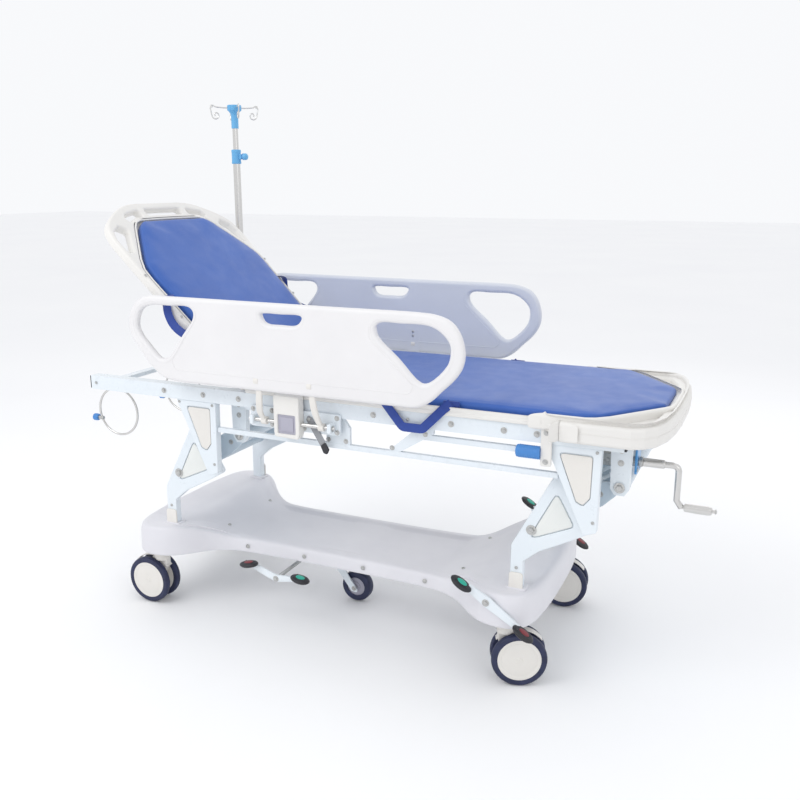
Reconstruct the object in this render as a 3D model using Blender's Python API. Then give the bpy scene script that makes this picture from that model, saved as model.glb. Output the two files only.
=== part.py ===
"""Hospital stretcher trolley with crank-driven height, backrest, fold-down side rails and pole.

Metres. +X points to the foot end, -Y to the near side, +Z up. The castors stand on z = 0.
"""
import math

import bmesh
import bpy
from mathutils import Matrix, Vector

for old in list(bpy.data.objects):
    bpy.data.objects.remove(old, do_unlink=True)

# ---- driving dimensions ----
X_SHIFT = -0.111            # these two move the whole model so that its bounding box is centred
Y_SHIFT = -0.026
WHEEL_R = 0.075
WHEEL_W = 0.020
WHEEL_Y = 0.0255
TRAIL = 0.035
KING_X = 0.570
KING_Y = 0.250
SWIVEL = {"head_near": 180.0, "head_far": 172.0, "foot_near": 22.0, "foot_far": 8.0}

LEG_PITCH = 1.112           # distance between the head and foot legs
ARM_LOW = (0.628, 0.441)    # foot lift arm, lower pivot (x, z)
ARM_TOP = (0.838, 0.577)    # foot lift arm, upper pivot (x, z)
PIN_R = 0.012
SLEEVE_IN = 0.0124
SLEEVE_OUT = 0.021

BEAM_IN = 0.258
BEAM_OUT = 0.290
BEAM_LOW = 0.688
BEAM_TOP = 0.730
BEAM_HEAD = -0.765
BEAM_FOOT = 0.855

DECK_LOW = 0.7303
DECK_TOP = 0.754
HINGE_X = -0.220
HINGE_Z = 0.742
TILT = 44.5                 # backrest angle at rest
BACK_LEN = 0.700

GAS_LOW = (-0.240, 0.0, 0.674)  # lower pin of the gas spring, under the backrest hinge
GAS_REACH = 0.360           # from the hinge line to the upper pin of the gas spring
GAS_TOP_Z = 0.705

RAIL_IN = 0.333
RAIL_OUT = 0.357
RAIL_PIVOT = (0.315, 0.665)     # (y, z) of the lower rail-arm axis
RAIL_TOP_PIVOT = (0.345, 0.785)

CRANK_Y = -0.140
CRANK_Z = 0.625
POLE_X = -0.635
POLE_Y = 0.350

MATERIALS = {
    "abs_grey": ((0.80, 0.81, 0.86), 0.45, 0.0),
    "frame_paint": ((0.80, 0.87, 0.93), 0.40, 0.1),
    "arm_paint": ((0.62, 0.70, 0.78), 0.40, 0.1),
    "pp_white": ((0.90, 0.90, 0.89), 0.45, 0.0),
    "blue_plastic": ((0.12, 0.36, 0.72), 0.40, 0.0),
    "steel": ((0.72, 0.72, 0.72), 0.20, 1.0),
    "black": ((0.03, 0.03, 0.04), 0.50, 0.0),
    "tyre": ((0.05, 0.06, 0.12), 0.55, 0.0),
    "pad_fabric": ((0.05, 0.15, 0.55), 0.70, 0.0),
    "grey_plastic": ((0.62, 0.64, 0.70), 0.45, 0.0),
}


def material(kind, node):
    rgb, rough, metal = MATERIALS[kind]
    mat = bpy.data.materials.new(node + "_" + kind)
    mat.use_nodes = True
    shader = mat.node_tree.nodes["Principled BSDF"]
    shader.inputs["Base Color"].default_value = (rgb[0], rgb[1], rgb[2], 1.0)
    shader.inputs["Roughness"].default_value = rough
    shader.inputs["Metallic"].default_value = metal
    return mat


def mesh_object(name, bm):
    bmesh.ops.recalc_face_normals(bm, faces=bm.faces[:])
    mesh = bpy.data.meshes.new(name)
    bm.to_mesh(mesh)
    bm.free()
    obj = bpy.data.objects.new(name, mesh)
    bpy.context.collection.objects.link(obj)
    return obj


# ---- solid builders: each returns a temporary object ----
def box(x0, x1, y0, y1, z0, z1):
    bm = bmesh.new()
    bmesh.ops.create_cube(bm, size=1.0)
    for v in bm.verts:
        v.co = Vector((
            x0 if v.co.x < 0 else x1,
            y0 if v.co.y < 0 else y1,
            z0 if v.co.z < 0 else z1,
        ))
    return mesh_object("tool", bm)


AXIS_TURN = {
    "x": Matrix.Rotation(math.pi / 2, 4, "Y"),
    "y": Matrix.Rotation(-math.pi / 2, 4, "X"),
    "z": Matrix.Identity(4),
}


def lathe(profile, axis, centre, segments=24):
    """Closed (radius, height) profile turned about an axis through the centre."""
    bm = bmesh.new()
    rings = []
    for k in range(segments):
        a = 2 * math.pi * k / segments
        rings.append([
            bm.verts.new((r * math.cos(a), r * math.sin(a), h)) for r, h in profile
        ])
    count = len(profile)
    for k in range(segments):
        one, two = rings[k], rings[(k + 1) % segments]
        for j in range(count):
            i = (j + 1) % count
            bm.faces.new((one[j], two[j], two[i], one[i]))
    bmesh.ops.remove_doubles(bm, verts=bm.verts[:], dist=1e-6)
    bmesh.ops.transform(bm, matrix=Matrix.Translation(centre) @ AXIS_TURN[axis], verts=bm.verts[:])
    return mesh_object("tool", bm)


def rod(axis, centre, radius, length, segments=20):
    bm = bmesh.new()
    bmesh.ops.create_cone(
        bm, cap_ends=True, segments=segments, radius1=radius, radius2=radius, depth=length)
    bmesh.ops.transform(bm, matrix=Matrix.Translation(centre) @ AXIS_TURN[axis], verts=bm.verts[:])
    return mesh_object("tool", bm)


def tube(axis, centre, outer, inner, length, segments=20):
    h = length / 2
    return lathe([(inner, -h), (outer, -h), (outer, h), (inner, h)], axis, centre, segments)


def strut(p, q, radius, segments=12):
    p, q = Vector(p), Vector(q)
    bm = bmesh.new()
    bmesh.ops.create_cone(
        bm, cap_ends=True, segments=segments, radius1=radius, radius2=radius, depth=(q - p).length)
    turn = (q - p).to_track_quat("Z", "Y").to_matrix().to_4x4()
    bmesh.ops.transform(bm, matrix=Matrix.Translation((p + q) / 2) @ turn, verts=bm.verts[:])
    return mesh_object("tool", bm)


def prism(points, axis, low, high):
    """Polygon extruded along an axis; points are the other two coordinates in X, Y, Z order."""
    place = {
        "x": lambda a, b, d: (d, a, b),
        "y": lambda a, b, d: (a, d, b),
        "z": lambda a, b, d: (a, b, d),
    }[axis]
    bm = bmesh.new()
    bottom = [bm.verts.new(place(a, b, low)) for a, b in points]
    top = [bm.verts.new(place(a, b, high)) for a, b in points]
    count = len(points)
    bm.faces.new(bottom)
    bm.faces.new(top)
    for i in range(count):
        j = (i + 1) % count
        bm.faces.new((bottom[i], bottom[j], top[j], top[i]))
    return mesh_object("tool", bm)


def sweep(path, radius, segments=8, closed=False):
    """Round wire along a path of points."""
    pts = [Vector(p) for p in path]
    count = len(pts)
    bm = bmesh.new()
    rings = []
    side = None
    for i, p in enumerate(pts):
        before = pts[(i - 1) % count] if (closed or i > 0) else p
        after = pts[(i + 1) % count] if (closed or i < count - 1) else p
        along = (after - before).normalized()
        if side is None:
            side = along.orthogonal().normalized()
        side = (side - along * side.dot(along)).normalized()
        other = along.cross(side)
        rings.append([
            bm.verts.new(p + radius * (math.cos(a) * side + math.sin(a) * other))
            for a in (2 * math.pi * k / segments for k in range(segments))
        ])
    for i in range(count if closed else count - 1):
        one, two = rings[i], rings[(i + 1) % count]
        for k in range(segments):
            n = (k + 1) % segments
            bm.faces.new((one[k], one[n], two[n], two[k]))
    if not closed:
        bm.faces.new(rings[0])
        bm.faces.new(rings[-1])
    return mesh_object("tool", bm)


def combine(base, others, operation):
    """One boolean step per tool; the result replaces the base object's mesh."""
    for other in others:
        mod = base.modifiers.new("step", "BOOLEAN")
        mod.operation = operation
        mod.solver = "EXACT"
        mod.object = other
        bpy.context.view_layer.update()
        graph = bpy.context.evaluated_depsgraph_get()
        mesh = bpy.data.meshes.new_from_object(base.evaluated_get(graph))
        base.modifiers.clear()
        base.data = mesh
        bpy.data.objects.remove(other, do_unlink=True)
    return base


def union(*solids):
    return combine(solids[0], list(solids[1:]), "UNION")


def cut(base, *tools):
    return combine(base, list(tools), "DIFFERENCE")


def moved(obj, matrix):
    obj.data.transform(matrix)
    return obj


def finish(obj, name, kind, pivot=None, bevel=0.0):
    """Name the node, give it its origin and material, round its edges."""
    shift = Matrix.Translation((X_SHIFT, Y_SHIFT, 0))
    obj.data.transform(shift)
    bm = bmesh.new()
    bm.from_mesh(obj.data)
    bmesh.ops.remove_doubles(bm, verts=bm.verts[:], dist=2e-6)
    bmesh.ops.triangulate(bm, faces=[f for f in bm.faces if len(f.verts) > 4])
    bmesh.ops.recalc_face_normals(bm, faces=bm.faces[:])
    bm.to_mesh(obj.data)
    bm.free()
    obj.name = name
    obj.data.name = name
    obj.data.materials.clear()
    obj.data.materials.append(material(kind, name))
    if pivot is not None:
        spot = Vector(pivot) + Vector((X_SHIFT, Y_SHIFT, 0))
        obj.data.transform(Matrix.Translation(-spot))
        obj.location = spot
    if bevel > 0:
        mod = obj.modifiers.new("edge_round", "BEVEL")
        mod.width = bevel
        mod.segments = 1
        mod.limit_method = "ANGLE"
        mod.angle_limit = math.radians(40)
        mod.use_clamp_overlap = True
    obj.data.polygons.foreach_set("use_smooth", [True] * len(obj.data.polygons))
    return obj


def sides():
    return (("near", -1.0), ("far", 1.0))


def ends():
    return (("head", -LEG_PITCH), ("foot", 0.0))


# ---- base frame ----
frame = box(-0.56, 0.56, -0.115, -0.085, 0.188, 0.206)
parts = [box(-0.56, 0.56, 0.085, 0.115, 0.188, 0.206)]
for sx in (-1, 1):
    parts.append(box(sx * KING_X - 0.022, sx * KING_X + 0.022, -0.262, 0.262, 0.191, 0.232))
    for sy in (-1, 1):
        parts.append(rod("z", (sx * KING_X, sy * KING_Y, 0.2035), 0.0245, 0.063, 24))
for _, dx in ends():
    x0, x1 = 0.5725 + dx, 0.6115 + dx
    for y0 in (-0.2505, 0.2255):
        parts.append(box(x0, x1, y0, y0 + 0.025, 0.20, 0.258))
parts.append(box(-0.165, -0.115, -0.12, 0.12, 0.191, 0.2055))
parts.append(box(-0.538, -0.502, -0.2490, 0.2490, 0.1915, 0.2115))
frame = union(frame, *parts)
holes = [rod("z", (sx * KING_X, sy * KING_Y, 0.185), 0.0125, 0.05) for sx in (-1, 1) for sy in (-1, 1)]
frame = cut(frame, *holes)
finish(frame, "base_frame", "frame_paint")


# ---- moulded base cover: an open-bottomed shell with end lobes and a waisted tray ----
def cover_outline(grow):
    """Quarter outline of the plan, mirrored to a full loop."""
    quarter = [
        (0.655, 0.0), (0.653, 0.100), (0.648, 0.185), (0.640, 0.240), (0.621, 0.280), (0.588, 0.300),
        (0.545, 0.300), (0.505, 0.288), (0.470, 0.262), (0.435, 0.225), (0.395, 0.192), (0.345, 0.172),
        (0.280, 0.164), (0.150, 0.160), (0.0, 0.160),
    ]
    loop = list(quarter)
    loop += [(-x, y) for x, y in reversed(quarter[:-1])]
    loop += [(-x, -y) for x, y in quarter[1:]]
    loop += [(x, -y) for x, y in reversed(quarter[1:-1])]
    count = len(loop)
    out = []
    for i, (x, y) in enumerate(loop):
        ax, ay = loop[i - 1]
        bx, by = loop[(i + 1) % count]
        tx, ty = bx - ax, by - ay
        size = math.hypot(tx, ty)
        out.append((x + grow * ty / size, y - grow * tx / size))
    return out


def cover_height(x):
    """Height of the top surface: high over the end lobes, low over the waist."""
    t = min(max((abs(x) - 0.34) / 0.16, 0.0), 1.0)
    return 0.222 + 0.048 * t * t * (3 - 2 * t)


def cover_shell():
    bm = bmesh.new()
    layers = []
    for grow, drop, fixed in (
        (0.0, None, 0.178), (0.002, None, 0.186), (0.0, 0.014, None), (-0.004, 0.005, None),
        (-0.014, 0.0, None), (-0.030, 0.0, None), (-0.040, 0.008, None), (-0.044, 0.0095, None),
    ):
        layers.append([
            bm.verts.new((x, y, fixed if drop is None else cover_height(x) - drop))
            for x, y in cover_outline(grow)
        ])
    count = len(layers[0])
    for low, high in zip(layers, layers[1:]):
        for i in range(count):
            j = (i + 1) % count
            bm.faces.new((low[i], low[j], high[j], high[i]))
    half = count // 2
    top = layers[-1]
    for i in range(half):
        a, b = top[i], top[i + 1]
        c, d = top[(count - i - 1) % count], top[(count - i) % count]
        corners = []
        for v in (a, b, c, d):
            if v not in corners:
                corners.append(v)
        if len(corners) > 2:
            bm.faces.new(corners)
    bmesh.ops.recalc_face_normals(bm, faces=bm.faces[:])
    return mesh_object("tool", bm)


cover = cover_shell()
mod = cover.modifiers.new("wall", "SOLIDIFY")
mod.thickness = 0.004
mod.offset = -1.0
bpy.context.view_layer.update()
cover.data = bpy.data.meshes.new_from_object(cover.evaluated_get(bpy.context.evaluated_depsgraph_get()))
cover.modifiers.clear()
openings = [rod("y", (0.532, 0, 0.247), 0.0085, 0.70, 12)]
for _, dx in ends():
    for sy in (-1, 1):
        x_leg = 0.592 + dx
        openings.append(
            box(x_leg - 0.022, x_leg + 0.022, sy * 0.238 - 0.015, sy * 0.238 + 0.015, 0.20, 0.31))
cover = cut(cover, *openings)
finish(cover, "base_cover", "abs_grey")

# ---- legs ----
LOWER_PLATE = [
    (0.575, 0.2585), (0.609, 0.2585), (0.609, 0.350), (0.650, 0.385), (0.735, 0.430), (0.790, 0.462),
    (0.703, 0.598), (0.684, 0.598), (0.576, 0.392),
]
LOWER_PANEL = [(0.622, 0.415), (0.735, 0.468), (0.690, 0.548)]
UPPER_PLATE = [(0.664, 0.6877), (0.803, 0.6877), (0.800, 0.474), (0.768, 0.462)]
UPPER_PANEL = [(0.700, 0.668), (0.781, 0.668), (0.779, 0.560), (0.762, 0.540), (0.748, 0.548)]


def shifted(points, dx):
    return [(a + dx, b) for a, b in points]


for end, dx in ends():
    px, pz = ARM_LOW[0] + dx, ARM_LOW[1]
    low = rod("y", (px, 0, pz), PIN_R, 0.47)
    plates = []
    for side, s in sides():
        y0, y1 = sorted((s * 0.226, s * 0.250))
        plates.append(prism(shifted(LOWER_PLATE, dx), "y", y0, y1))
    leg = union(plates[0], low, plates[1])
    recess = []
    for side, s in sides():
        y0, y1 = sorted((s * 0.2465, s * 0.252))
        recess.append(prism(shifted(LOWER_PANEL, dx), "y", y0, y1))
    leg = cut(leg, *recess)
    finish(leg, "lower_leg_" + end, "frame_paint")
    for side, s in sides():
        mid = (sum(p[0] for p in LOWER_PANEL) / 3, sum(p[1] for p in LOWER_PANEL) / 3)
        small = [(mid[0] + 0.985 * (a - mid[0]) + dx, mid[1] + 0.985 * (b - mid[1])) for a, b in LOWER_PANEL]
        y0, y1 = sorted((s * 0.2466, s * 0.251))
        finish(prism(small, "y", y0, y1), "panel_lower_" + end + "_" + side, "pp_white")

    for side, s in sides():
        y0, y1 = sorted((s * 0.2625, s * 0.2865))
        plate = prism(shifted(UPPER_PLATE, dx), "y", y0, y1)
        a0, a1 = sorted((s * 0.2825, s * 0.289))
        plate = cut(plate, prism(shifted(UPPER_PANEL, dx), "y", a0, a1))
        finish(plate, "upper_leg_" + end + "_" + side, "frame_paint")
        mid = (0.755, 0.615)
        small = [(mid[0] + 0.985 * (a - mid[0]) + dx, mid[1] + 0.985 * (b - mid[1])) for a, b in UPPER_PANEL]
        a0, a1 = sorted((s * 0.2826, s * 0.2872))
        finish(prism(small, "y", a0, a1), "panel_upper_" + end + "_" + side, "pp_white")

# ---- lift arms ----
for end, dx in ends():
    lo = Vector((ARM_LOW[0] + dx, 0, ARM_LOW[1]))
    hi = Vector((ARM_TOP[0] + dx, 0, ARM_TOP[1]))
    arm = tube("y", lo, SLEEVE_OUT, SLEEVE_IN, 0.40)
    pieces = [tube("y", hi, SLEEVE_OUT, SLEEVE_IN, 0.40)]
    along = (hi - lo).normalized()
    up = Vector((-along.z, 0, along.x))
    a, b = lo + along * 0.0165, hi - along * 0.0165
    web = [a + up * 0.004, b + up * 0.004, b - up * 0.004, a - up * 0.004]
    pieces.append(prism([(p.x, p.z) for p in web], "y", -0.196, 0.196))
    for s in (-1, 1):
        cheek = [
            a + up * 0.019, lo + along * 0.07 + up * 0.034, hi - along * 0.07 + up * 0.034, b + up * 0.019,
            b - up * 0.019, hi - along * 0.07 - up * 0.030, lo + along * 0.07 - up * 0.030, a - up * 0.019,
        ]
        y0, y1 = sorted((s * 0.188, s * 0.196))
        pieces.append(prism([(p.x, p.z) for p in cheek], "y", y0, y1))
    if end == "foot":
        lever = [(hi.x - 0.010, hi.z + 0.016), (hi.x + 0.010, hi.z + 0.016),
                 (hi.x + 0.006, hi.z + 0.030), (hi.x - 0.006, hi.z + 0.030)]
        pieces.append(prism(lever, "y", CRANK_Y - 0.008, CRANK_Y + 0.008))
    arm = union(arm, *pieces)
    finish(arm, "lift_arm_" + end, "arm_paint", pivot=lo)

# ---- bed frame ----
bed = box(BEAM_HEAD, BEAM_FOOT, -BEAM_OUT, -BEAM_IN, BEAM_LOW, BEAM_TOP)
parts = [box(BEAM_HEAD, BEAM_FOOT, BEAM_IN, BEAM_OUT, BEAM_LOW, BEAM_TOP)]
for x in (0.30, ARM_TOP[0]):
    parts.append(box(x - 0.015, x + 0.015, -0.262, 0.262, 0.692, 0.722))
parts.append(box(-0.760, -0.730, -0.262, 0.262, 0.692, 0.704))
parts.append(box(-0.222, -0.196, -0.262, 0.262, 0.672, 0.702))
for _, dx in ends():
    px, pz = ARM_TOP[0] + dx, ARM_TOP[1]
    parts.append(rod("y", (px, 0, pz), PIN_R, 0.4500))
    for s in (-1, 1):
        y0, y1 = sorted((s * 0.2015, s * 0.2205))
        ear = [(px - 0.026, 0.700), (px + 0.026, 0.700), (px + 0.023, pz - 0.005), (px + 0.012, pz - 0.021),
               (px - 0.012, pz - 0.021), (px - 0.023, pz - 0.005)]
        parts.append(prism(ear, "y", y0, y1))
head_arm_x = ARM_TOP[0] - LEG_PITCH
for s in (-1, 1):
    y0, y1 = sorted((s * 0.1980, s * 0.2620))
    parts.append(box(head_arm_x - 0.015, head_arm_x + 0.015, y0, y1, 0.692, 0.722))
    y0, y1 = sorted((s * 0.0145, s * 0.0195))
    parts.append(box(-0.2515, -0.2150, y0, y1, 0.6645, 0.6935))
parts.append(rod("y", GAS_LOW, 0.0045, 0.0345, 14))
BRACE = [(0.232, 0.606), (0.262, 0.606), (0.368, 0.672), (0.368, 0.692), (0.330, 0.692)]
HANGER = [(0.052, 0.606), (0.124, 0.606), (0.124, 0.660), (0.100, 0.692), (0.052, 0.692)]
for s in (-1, 1):
    t0, t1 = sorted((s * 0.2680, s * 0.2800))
    parts.append(box(-0.3092, 0.6975, t0, t1, 0.599, 0.613))
    g0, g1 = sorted((s * 0.2690, s * 0.2790))
    parts.append(prism(BRACE, "y", g0, g1))
    parts.append(prism(HANGER, "y", g0, g1))
    i0, i1 = sorted((s * 0.2600, s * 0.2720))
    parts.append(box(0.330, 0.6740, i0, i1, 0.652, 0.666))
bed = union(bed, *parts)
finish(bed, "bed_frame", "frame_paint")


# ---- boards and pads ----
def half_loop(points):
    """Half outline (x, +y) completed by its mirror image."""
    return points + [(x, -y) for x, y in reversed(points)]


DECK = [(-0.205, 0.298), (0.655, 0.298), (0.675, 0.318), (0.880, 0.322), (0.925, 0.280), (0.952, 0.190),
        (0.957, 0.080)]
deck = prism(half_loop(DECK), "z", DECK_LOW, DECK_TOP)
rim = prism(half_loop([(0.665, 0.310), (0.675, 0.319), (0.880, 0.323), (0.926, 0.281), (0.953, 0.190),
                       (0.958, 0.080)]), "z", 0.7303, 0.766)
rim = cut(rim, prism(half_loop([(0.60, 0.2915), (0.770, 0.2915), (0.805, 0.262), (0.915, 0.118),
                                (0.930, 0.095)]), "z", 0.7443, 0.80))
deck = union(deck, rim)
lip = prism(half_loop([(0.8605, 0.315), (0.880, 0.321), (0.924, 0.279), (0.951, 0.189), (0.956, 0.080)]),
            "z", 0.700, 0.735)
deck = union(deck, lip)
for s in (-1, 1):
    y0, y1 = sorted((s * 0.2925, s * 0.3215))
    deck = union(deck, box(0.690, 0.870, y0, y1, 0.706, 0.735))
deck = cut(deck, prism(half_loop([(-0.225, 0.2915), (0.770, 0.2915), (0.805, 0.262), (0.915, 0.118),
                                  (0.930, 0.095)]), "z", 0.7443, 0.80))
finish(deck, "foot_board", "pp_white")

pad = prism(half_loop([(-0.194, 0.2885), (0.768, 0.2885), (0.800, 0.259), (0.912, 0.114), (0.925, 0.092)]),
            "z", 0.7448, 0.776)
finish(pad, "pad_foot", "pad_fabric", bevel=0.005)

# Backrest parts are drawn flat (s measured from the hinge towards the head end), then tilted.
TILT_BACK = (Matrix.Translation((HINGE_X, 0, HINGE_Z)) @ Matrix.Rotation(math.radians(TILT), 4, "Y")
             @ Matrix.Translation((-HINGE_X, 0, -HINGE_Z)))


def back(points):
    return half_loop([(HINGE_X - s, y) for s, y in points])


BOARD = [(0.020, 0.286), (0.10, 0.298), (0.40, 0.312), (0.560, 0.315), (0.605, 0.302), (0.640, 0.268),
         (0.680, 0.200), (0.697, 0.150)]
board = prism(back(BOARD), "z", DECK_LOW, 0.758)
recess = prism(back([(0.0, 0.2755), (0.40, 0.2955), (0.450, 0.290), (0.480, 0.272), (0.600, 0.185),
                     (0.625, 0.150)]), "z", 0.7443, 0.80)
slots = [prism([(HINGE_X - 0.672, -0.085), (HINGE_X - 0.650, -0.085), (HINGE_X - 0.650, 0.085),
                (HINGE_X - 0.672, 0.085)], "z", 0.70, 0.80)]
for s in (-1, 1):
    slots.append(prism([(HINGE_X - 0.664, s * 0.118), (HINGE_X - 0.645, s * 0.112),
                        (HINGE_X - 0.628, s * 0.188), (HINGE_X - 0.650, s * 0.190)], "z", 0.70, 0.80))
    slots.append(prism([(HINGE_X - 0.600, s * 0.262), (HINGE_X - 0.585, s * 0.245),
                        (HINGE_X - 0.520, s * 0.278), (HINGE_X - 0.520, s * 0.299),
                        (HINGE_X - 0.560, s * 0.298)], "z", 0.70, 0.80))
board = cut(board, recess, *slots)
for y0, y1 in ((-0.035, -0.025), (0.025, 0.035)):
    bracket = box(HINGE_X - GAS_REACH - 0.015, HINGE_X - GAS_REACH + 0.015, y0, y1, 0.692, 0.7345)
    board = union(board, bracket)
finish(moved(board, TILT_BACK), "backrest_board", "pp_white", pivot=(HINGE_X, 0, HINGE_Z))

pad = prism(back([(0.026, 0.271), (0.40, 0.290), (0.448, 0.285), (0.478, 0.267), (0.598, 0.180),
                  (0.620, 0.146)]), "z", 0.7448, 0.776)
finish(moved(pad, TILT_BACK), "pad_back", "pad_fabric", pivot=(HINGE_X, 0, HINGE_Z), bevel=0.005)

# Release handle of the gas spring, under the head edge of the backrest
HANDLE_HALF = [(0.50, -0.10), (0.62, -0.10), (0.635, -0.085)]
handle_path = HANDLE_HALF + [(s, -y) for s, y in reversed(HANDLE_HALF)]
handle = sweep([(HINGE_X - s, y, 0.716) for s, y in handle_path], 0.005, 8)
handle = union(handle, rod("y", (HINGE_X - 0.50, 0, 0.716), 0.006, 0.23, 12))
spot = TILT_BACK @ Vector((HINGE_X - 0.50, 0, 0.716))
finish(moved(handle, TILT_BACK), "backrest_handle", "steel", pivot=spot)

# Gas spring between the cross member under the hinge and the backrest
gas_low = Vector(GAS_LOW)
gas_top = TILT_BACK @ Vector((HINGE_X - GAS_REACH, 0, GAS_TOP_Z))
line = (gas_top - gas_low).normalized()
body = strut(gas_low + line * 0.008, gas_low + line * 0.245, 0.012, 16)
body = cut(body, strut(gas_low + line * 0.05, gas_low + line * 0.30, 0.0055, 12))
body = union(body, rod("y", gas_low, 0.0131, 0.027, 18))
body = cut(body, rod("y", gas_low, 0.0052, 0.040, 16))
finish(body, "gas_spring_cylinder", "black", pivot=gas_low)
stem = strut(gas_low + line * 0.14, gas_top - line * 0.004, 0.005, 12)
stem = union(stem, rod("y", gas_top, 0.010, 0.020, 16))
finish(stem, "gas_spring_rod", "steel", pivot=gas_top)


# ---- side rails ----
RAIL = [
    (-0.545, 0.905), (-0.540, 0.940), (-0.524, 0.968), (-0.500, 0.988), (-0.470, 0.997), (-0.400, 0.998),
    (0.350, 0.998), (0.400, 0.994), (0.438, 0.980), (0.462, 0.952), (0.475, 0.905), (0.470, 0.870),
    (0.452, 0.840), (0.420, 0.808), (0.385, 0.775), (0.350, 0.758), (0.200, 0.756), (-0.380, 0.757),
    (-0.440, 0.768), (-0.478, 0.800), (-0.512, 0.842), (-0.538, 0.878),
]
RAIL_LEFT = [
    (-0.514, 0.908), (-0.508, 0.938), (-0.494, 0.958), (-0.465, 0.970), (-0.335, 0.972), (-0.320, 0.960),
    (-0.322, 0.940), (-0.412, 0.826), (-0.440, 0.822), (-0.482, 0.860), (-0.505, 0.886),
]
RAIL_RIGHT = [
    (0.238, 0.955), (0.250, 0.966), (0.380, 0.966), (0.412, 0.952), (0.436, 0.925), (0.438, 0.898),
    (0.430, 0.872), (0.384, 0.826), (0.360, 0.822), (0.236, 0.936),
]
RAIL_SLOT = [
    (-0.099, 0.968), (0.024, 0.968), (0.016, 0.950), (0.002, 0.941), (-0.080, 0.941), (-0.092, 0.950),
]
RAIL_LEVER = [(0.008, 0.688), (0.020, 0.684), (0.072, 0.600), (0.066, 0.586), (0.054, 0.590), (0.004, 0.676)]
ARM_X = (-0.120, 0.045)

for side, s in sides():
    y0, y1 = sorted((s * RAIL_IN, s * RAIL_OUT))
    rail = prism(RAIL, "y", y0, y1)
    c0, c1 = sorted((s * 0.30, s * 0.39))
    rail = cut(rail, *[prism(hole, "y", c0, c1) for hole in (RAIL_LEFT, RAIL_RIGHT, RAIL_SLOT)])
    p0, p1 = sorted((s * 0.320, s * 0.3480))
    pockets = [rod("x", (x, s * RAIL_TOP_PIVOT[0], RAIL_TOP_PIVOT[1]), 0.0172, 0.022, 24) for x in ARM_X]
    pockets += [box(x - 0.011, x + 0.011, p0, p1, 0.740, 0.845) for x in ARM_X]
    rail = cut(rail, *pockets)
    rail = union(rail, *[rod("x", (x, s * RAIL_TOP_PIVOT[0], RAIL_TOP_PIVOT[1]), 0.0050, 0.030, 12)
                         for x in ARM_X])
    finish(rail, "rail_" + side, "pp_white", pivot=(0, s * RAIL_TOP_PIVOT[0], RAIL_TOP_PIVOT[1]))

    py, pz = s * RAIL_PIVOT[0], RAIL_PIVOT[1]
    ty, tz = s * RAIL_TOP_PIVOT[0], RAIL_TOP_PIVOT[1]
    link = rod("x", (-0.0375, py, pz), 0.0060, 0.270, 16)
    solids = []
    for x in ARM_X:
        solids.append(rod("x", (x, py, pz), 0.0115, 0.016, 16))
        foot, top = Vector((py, pz)), Vector((ty, tz))
        reach = (top - foot).normalized()
        across = Vector((-reach.y, reach.x)) * 0.0048
        near_top = top - reach * 0.0125
        bar = [foot - across, near_top - across, near_top + across, foot + across]
        solids.append(prism([tuple(p) for p in bar], "x", x - 0.007, x + 0.007))
        solids.append(tube("x", (x, ty, tz), 0.0145, 0.00525, 0.014, 20))
    link = union(link, *solids)
    finish(link, "rail_arm_" + side, "pp_white", pivot=(0, py, pz))

    h0, h1 = sorted((s * 0.2903, s * 0.3000))
    house = box(-0.180, 0.105, h0, h1, 0.640, 0.700)
    b0, b1 = sorted((s * 0.2985, s * 0.3280))
    block = box(-0.086, -0.006, b0, b1, 0.624, 0.745)
    e0, e1 = sorted((s * 0.2950, s * 0.3270))
    ears = [box(x - 0.006, x + 0.006, e0, e1, 0.652, 0.678) for x in (-0.160, 0.085)]
    house = union(house, block, *ears)
    f0, f1 = sorted((s * 0.3220, s * 0.3400))
    house = cut(house, box(-0.076, -0.016, f0, f1, 0.634, 0.692),
                rod("x", (-0.0375, py, pz), 0.0063, 0.40, 16))
    finish(house, "rail_housing_" + side, "grey_plastic")

    l0, l1 = sorted((s * 0.3003, s * 0.3031))
    lever = prism(RAIL_LEVER, "y", l0, l1)
    finish(lever, "rail_lever_" + side, "black", pivot=(0.012, s * 0.303, 0.680))

# ---- infusion pole ----
tube_low = union(
    tube("z", (POLE_X, POLE_Y, 1.035), 0.0125, 0.0098, 0.740, 20),
    tube("z", (POLE_X, POLE_Y, 0.709), 0.0185, 0.0119, 0.060),
    box(POLE_X - 0.012, POLE_X + 0.012, 0.2903, POLE_Y - 0.0155, 0.690, 0.728))
finish(tube_low, "pole_tube", "steel")
clamp = union(
    tube("z", (POLE_X, POLE_Y, 1.3920), 0.0165, 0.0129, 0.048),
    box(POLE_X + 0.0145, POLE_X + 0.024, POLE_Y - 0.006, POLE_Y + 0.006, 1.384, 1.400))
finish(clamp, "pole_clamp", "blue_plastic")
knob = union(
    rod("x", (POLE_X + 0.0355, POLE_Y, 1.392), 0.011, 0.018, 10),
    rod("x", (POLE_X + 0.0275, POLE_Y, 1.392), 0.004, 0.006, 10))
finish(knob, "pole_knob", "blue_plastic", pivot=(POLE_X + 0.03, POLE_Y, 1.392))
rod_top = rod("z", (POLE_X, POLE_Y, 1.215), 0.0095, 0.600, 20)
finish(rod_top, "pole_rod", "steel", pivot=(POLE_X, POLE_Y, 1.215))
hooks = union(
    rod("z", (POLE_X, POLE_Y, 1.5305), 0.0125, 0.030, 16),
    rod("z", (POLE_X, POLE_Y, 1.5540), 0.0230, 0.020, 16))
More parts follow.
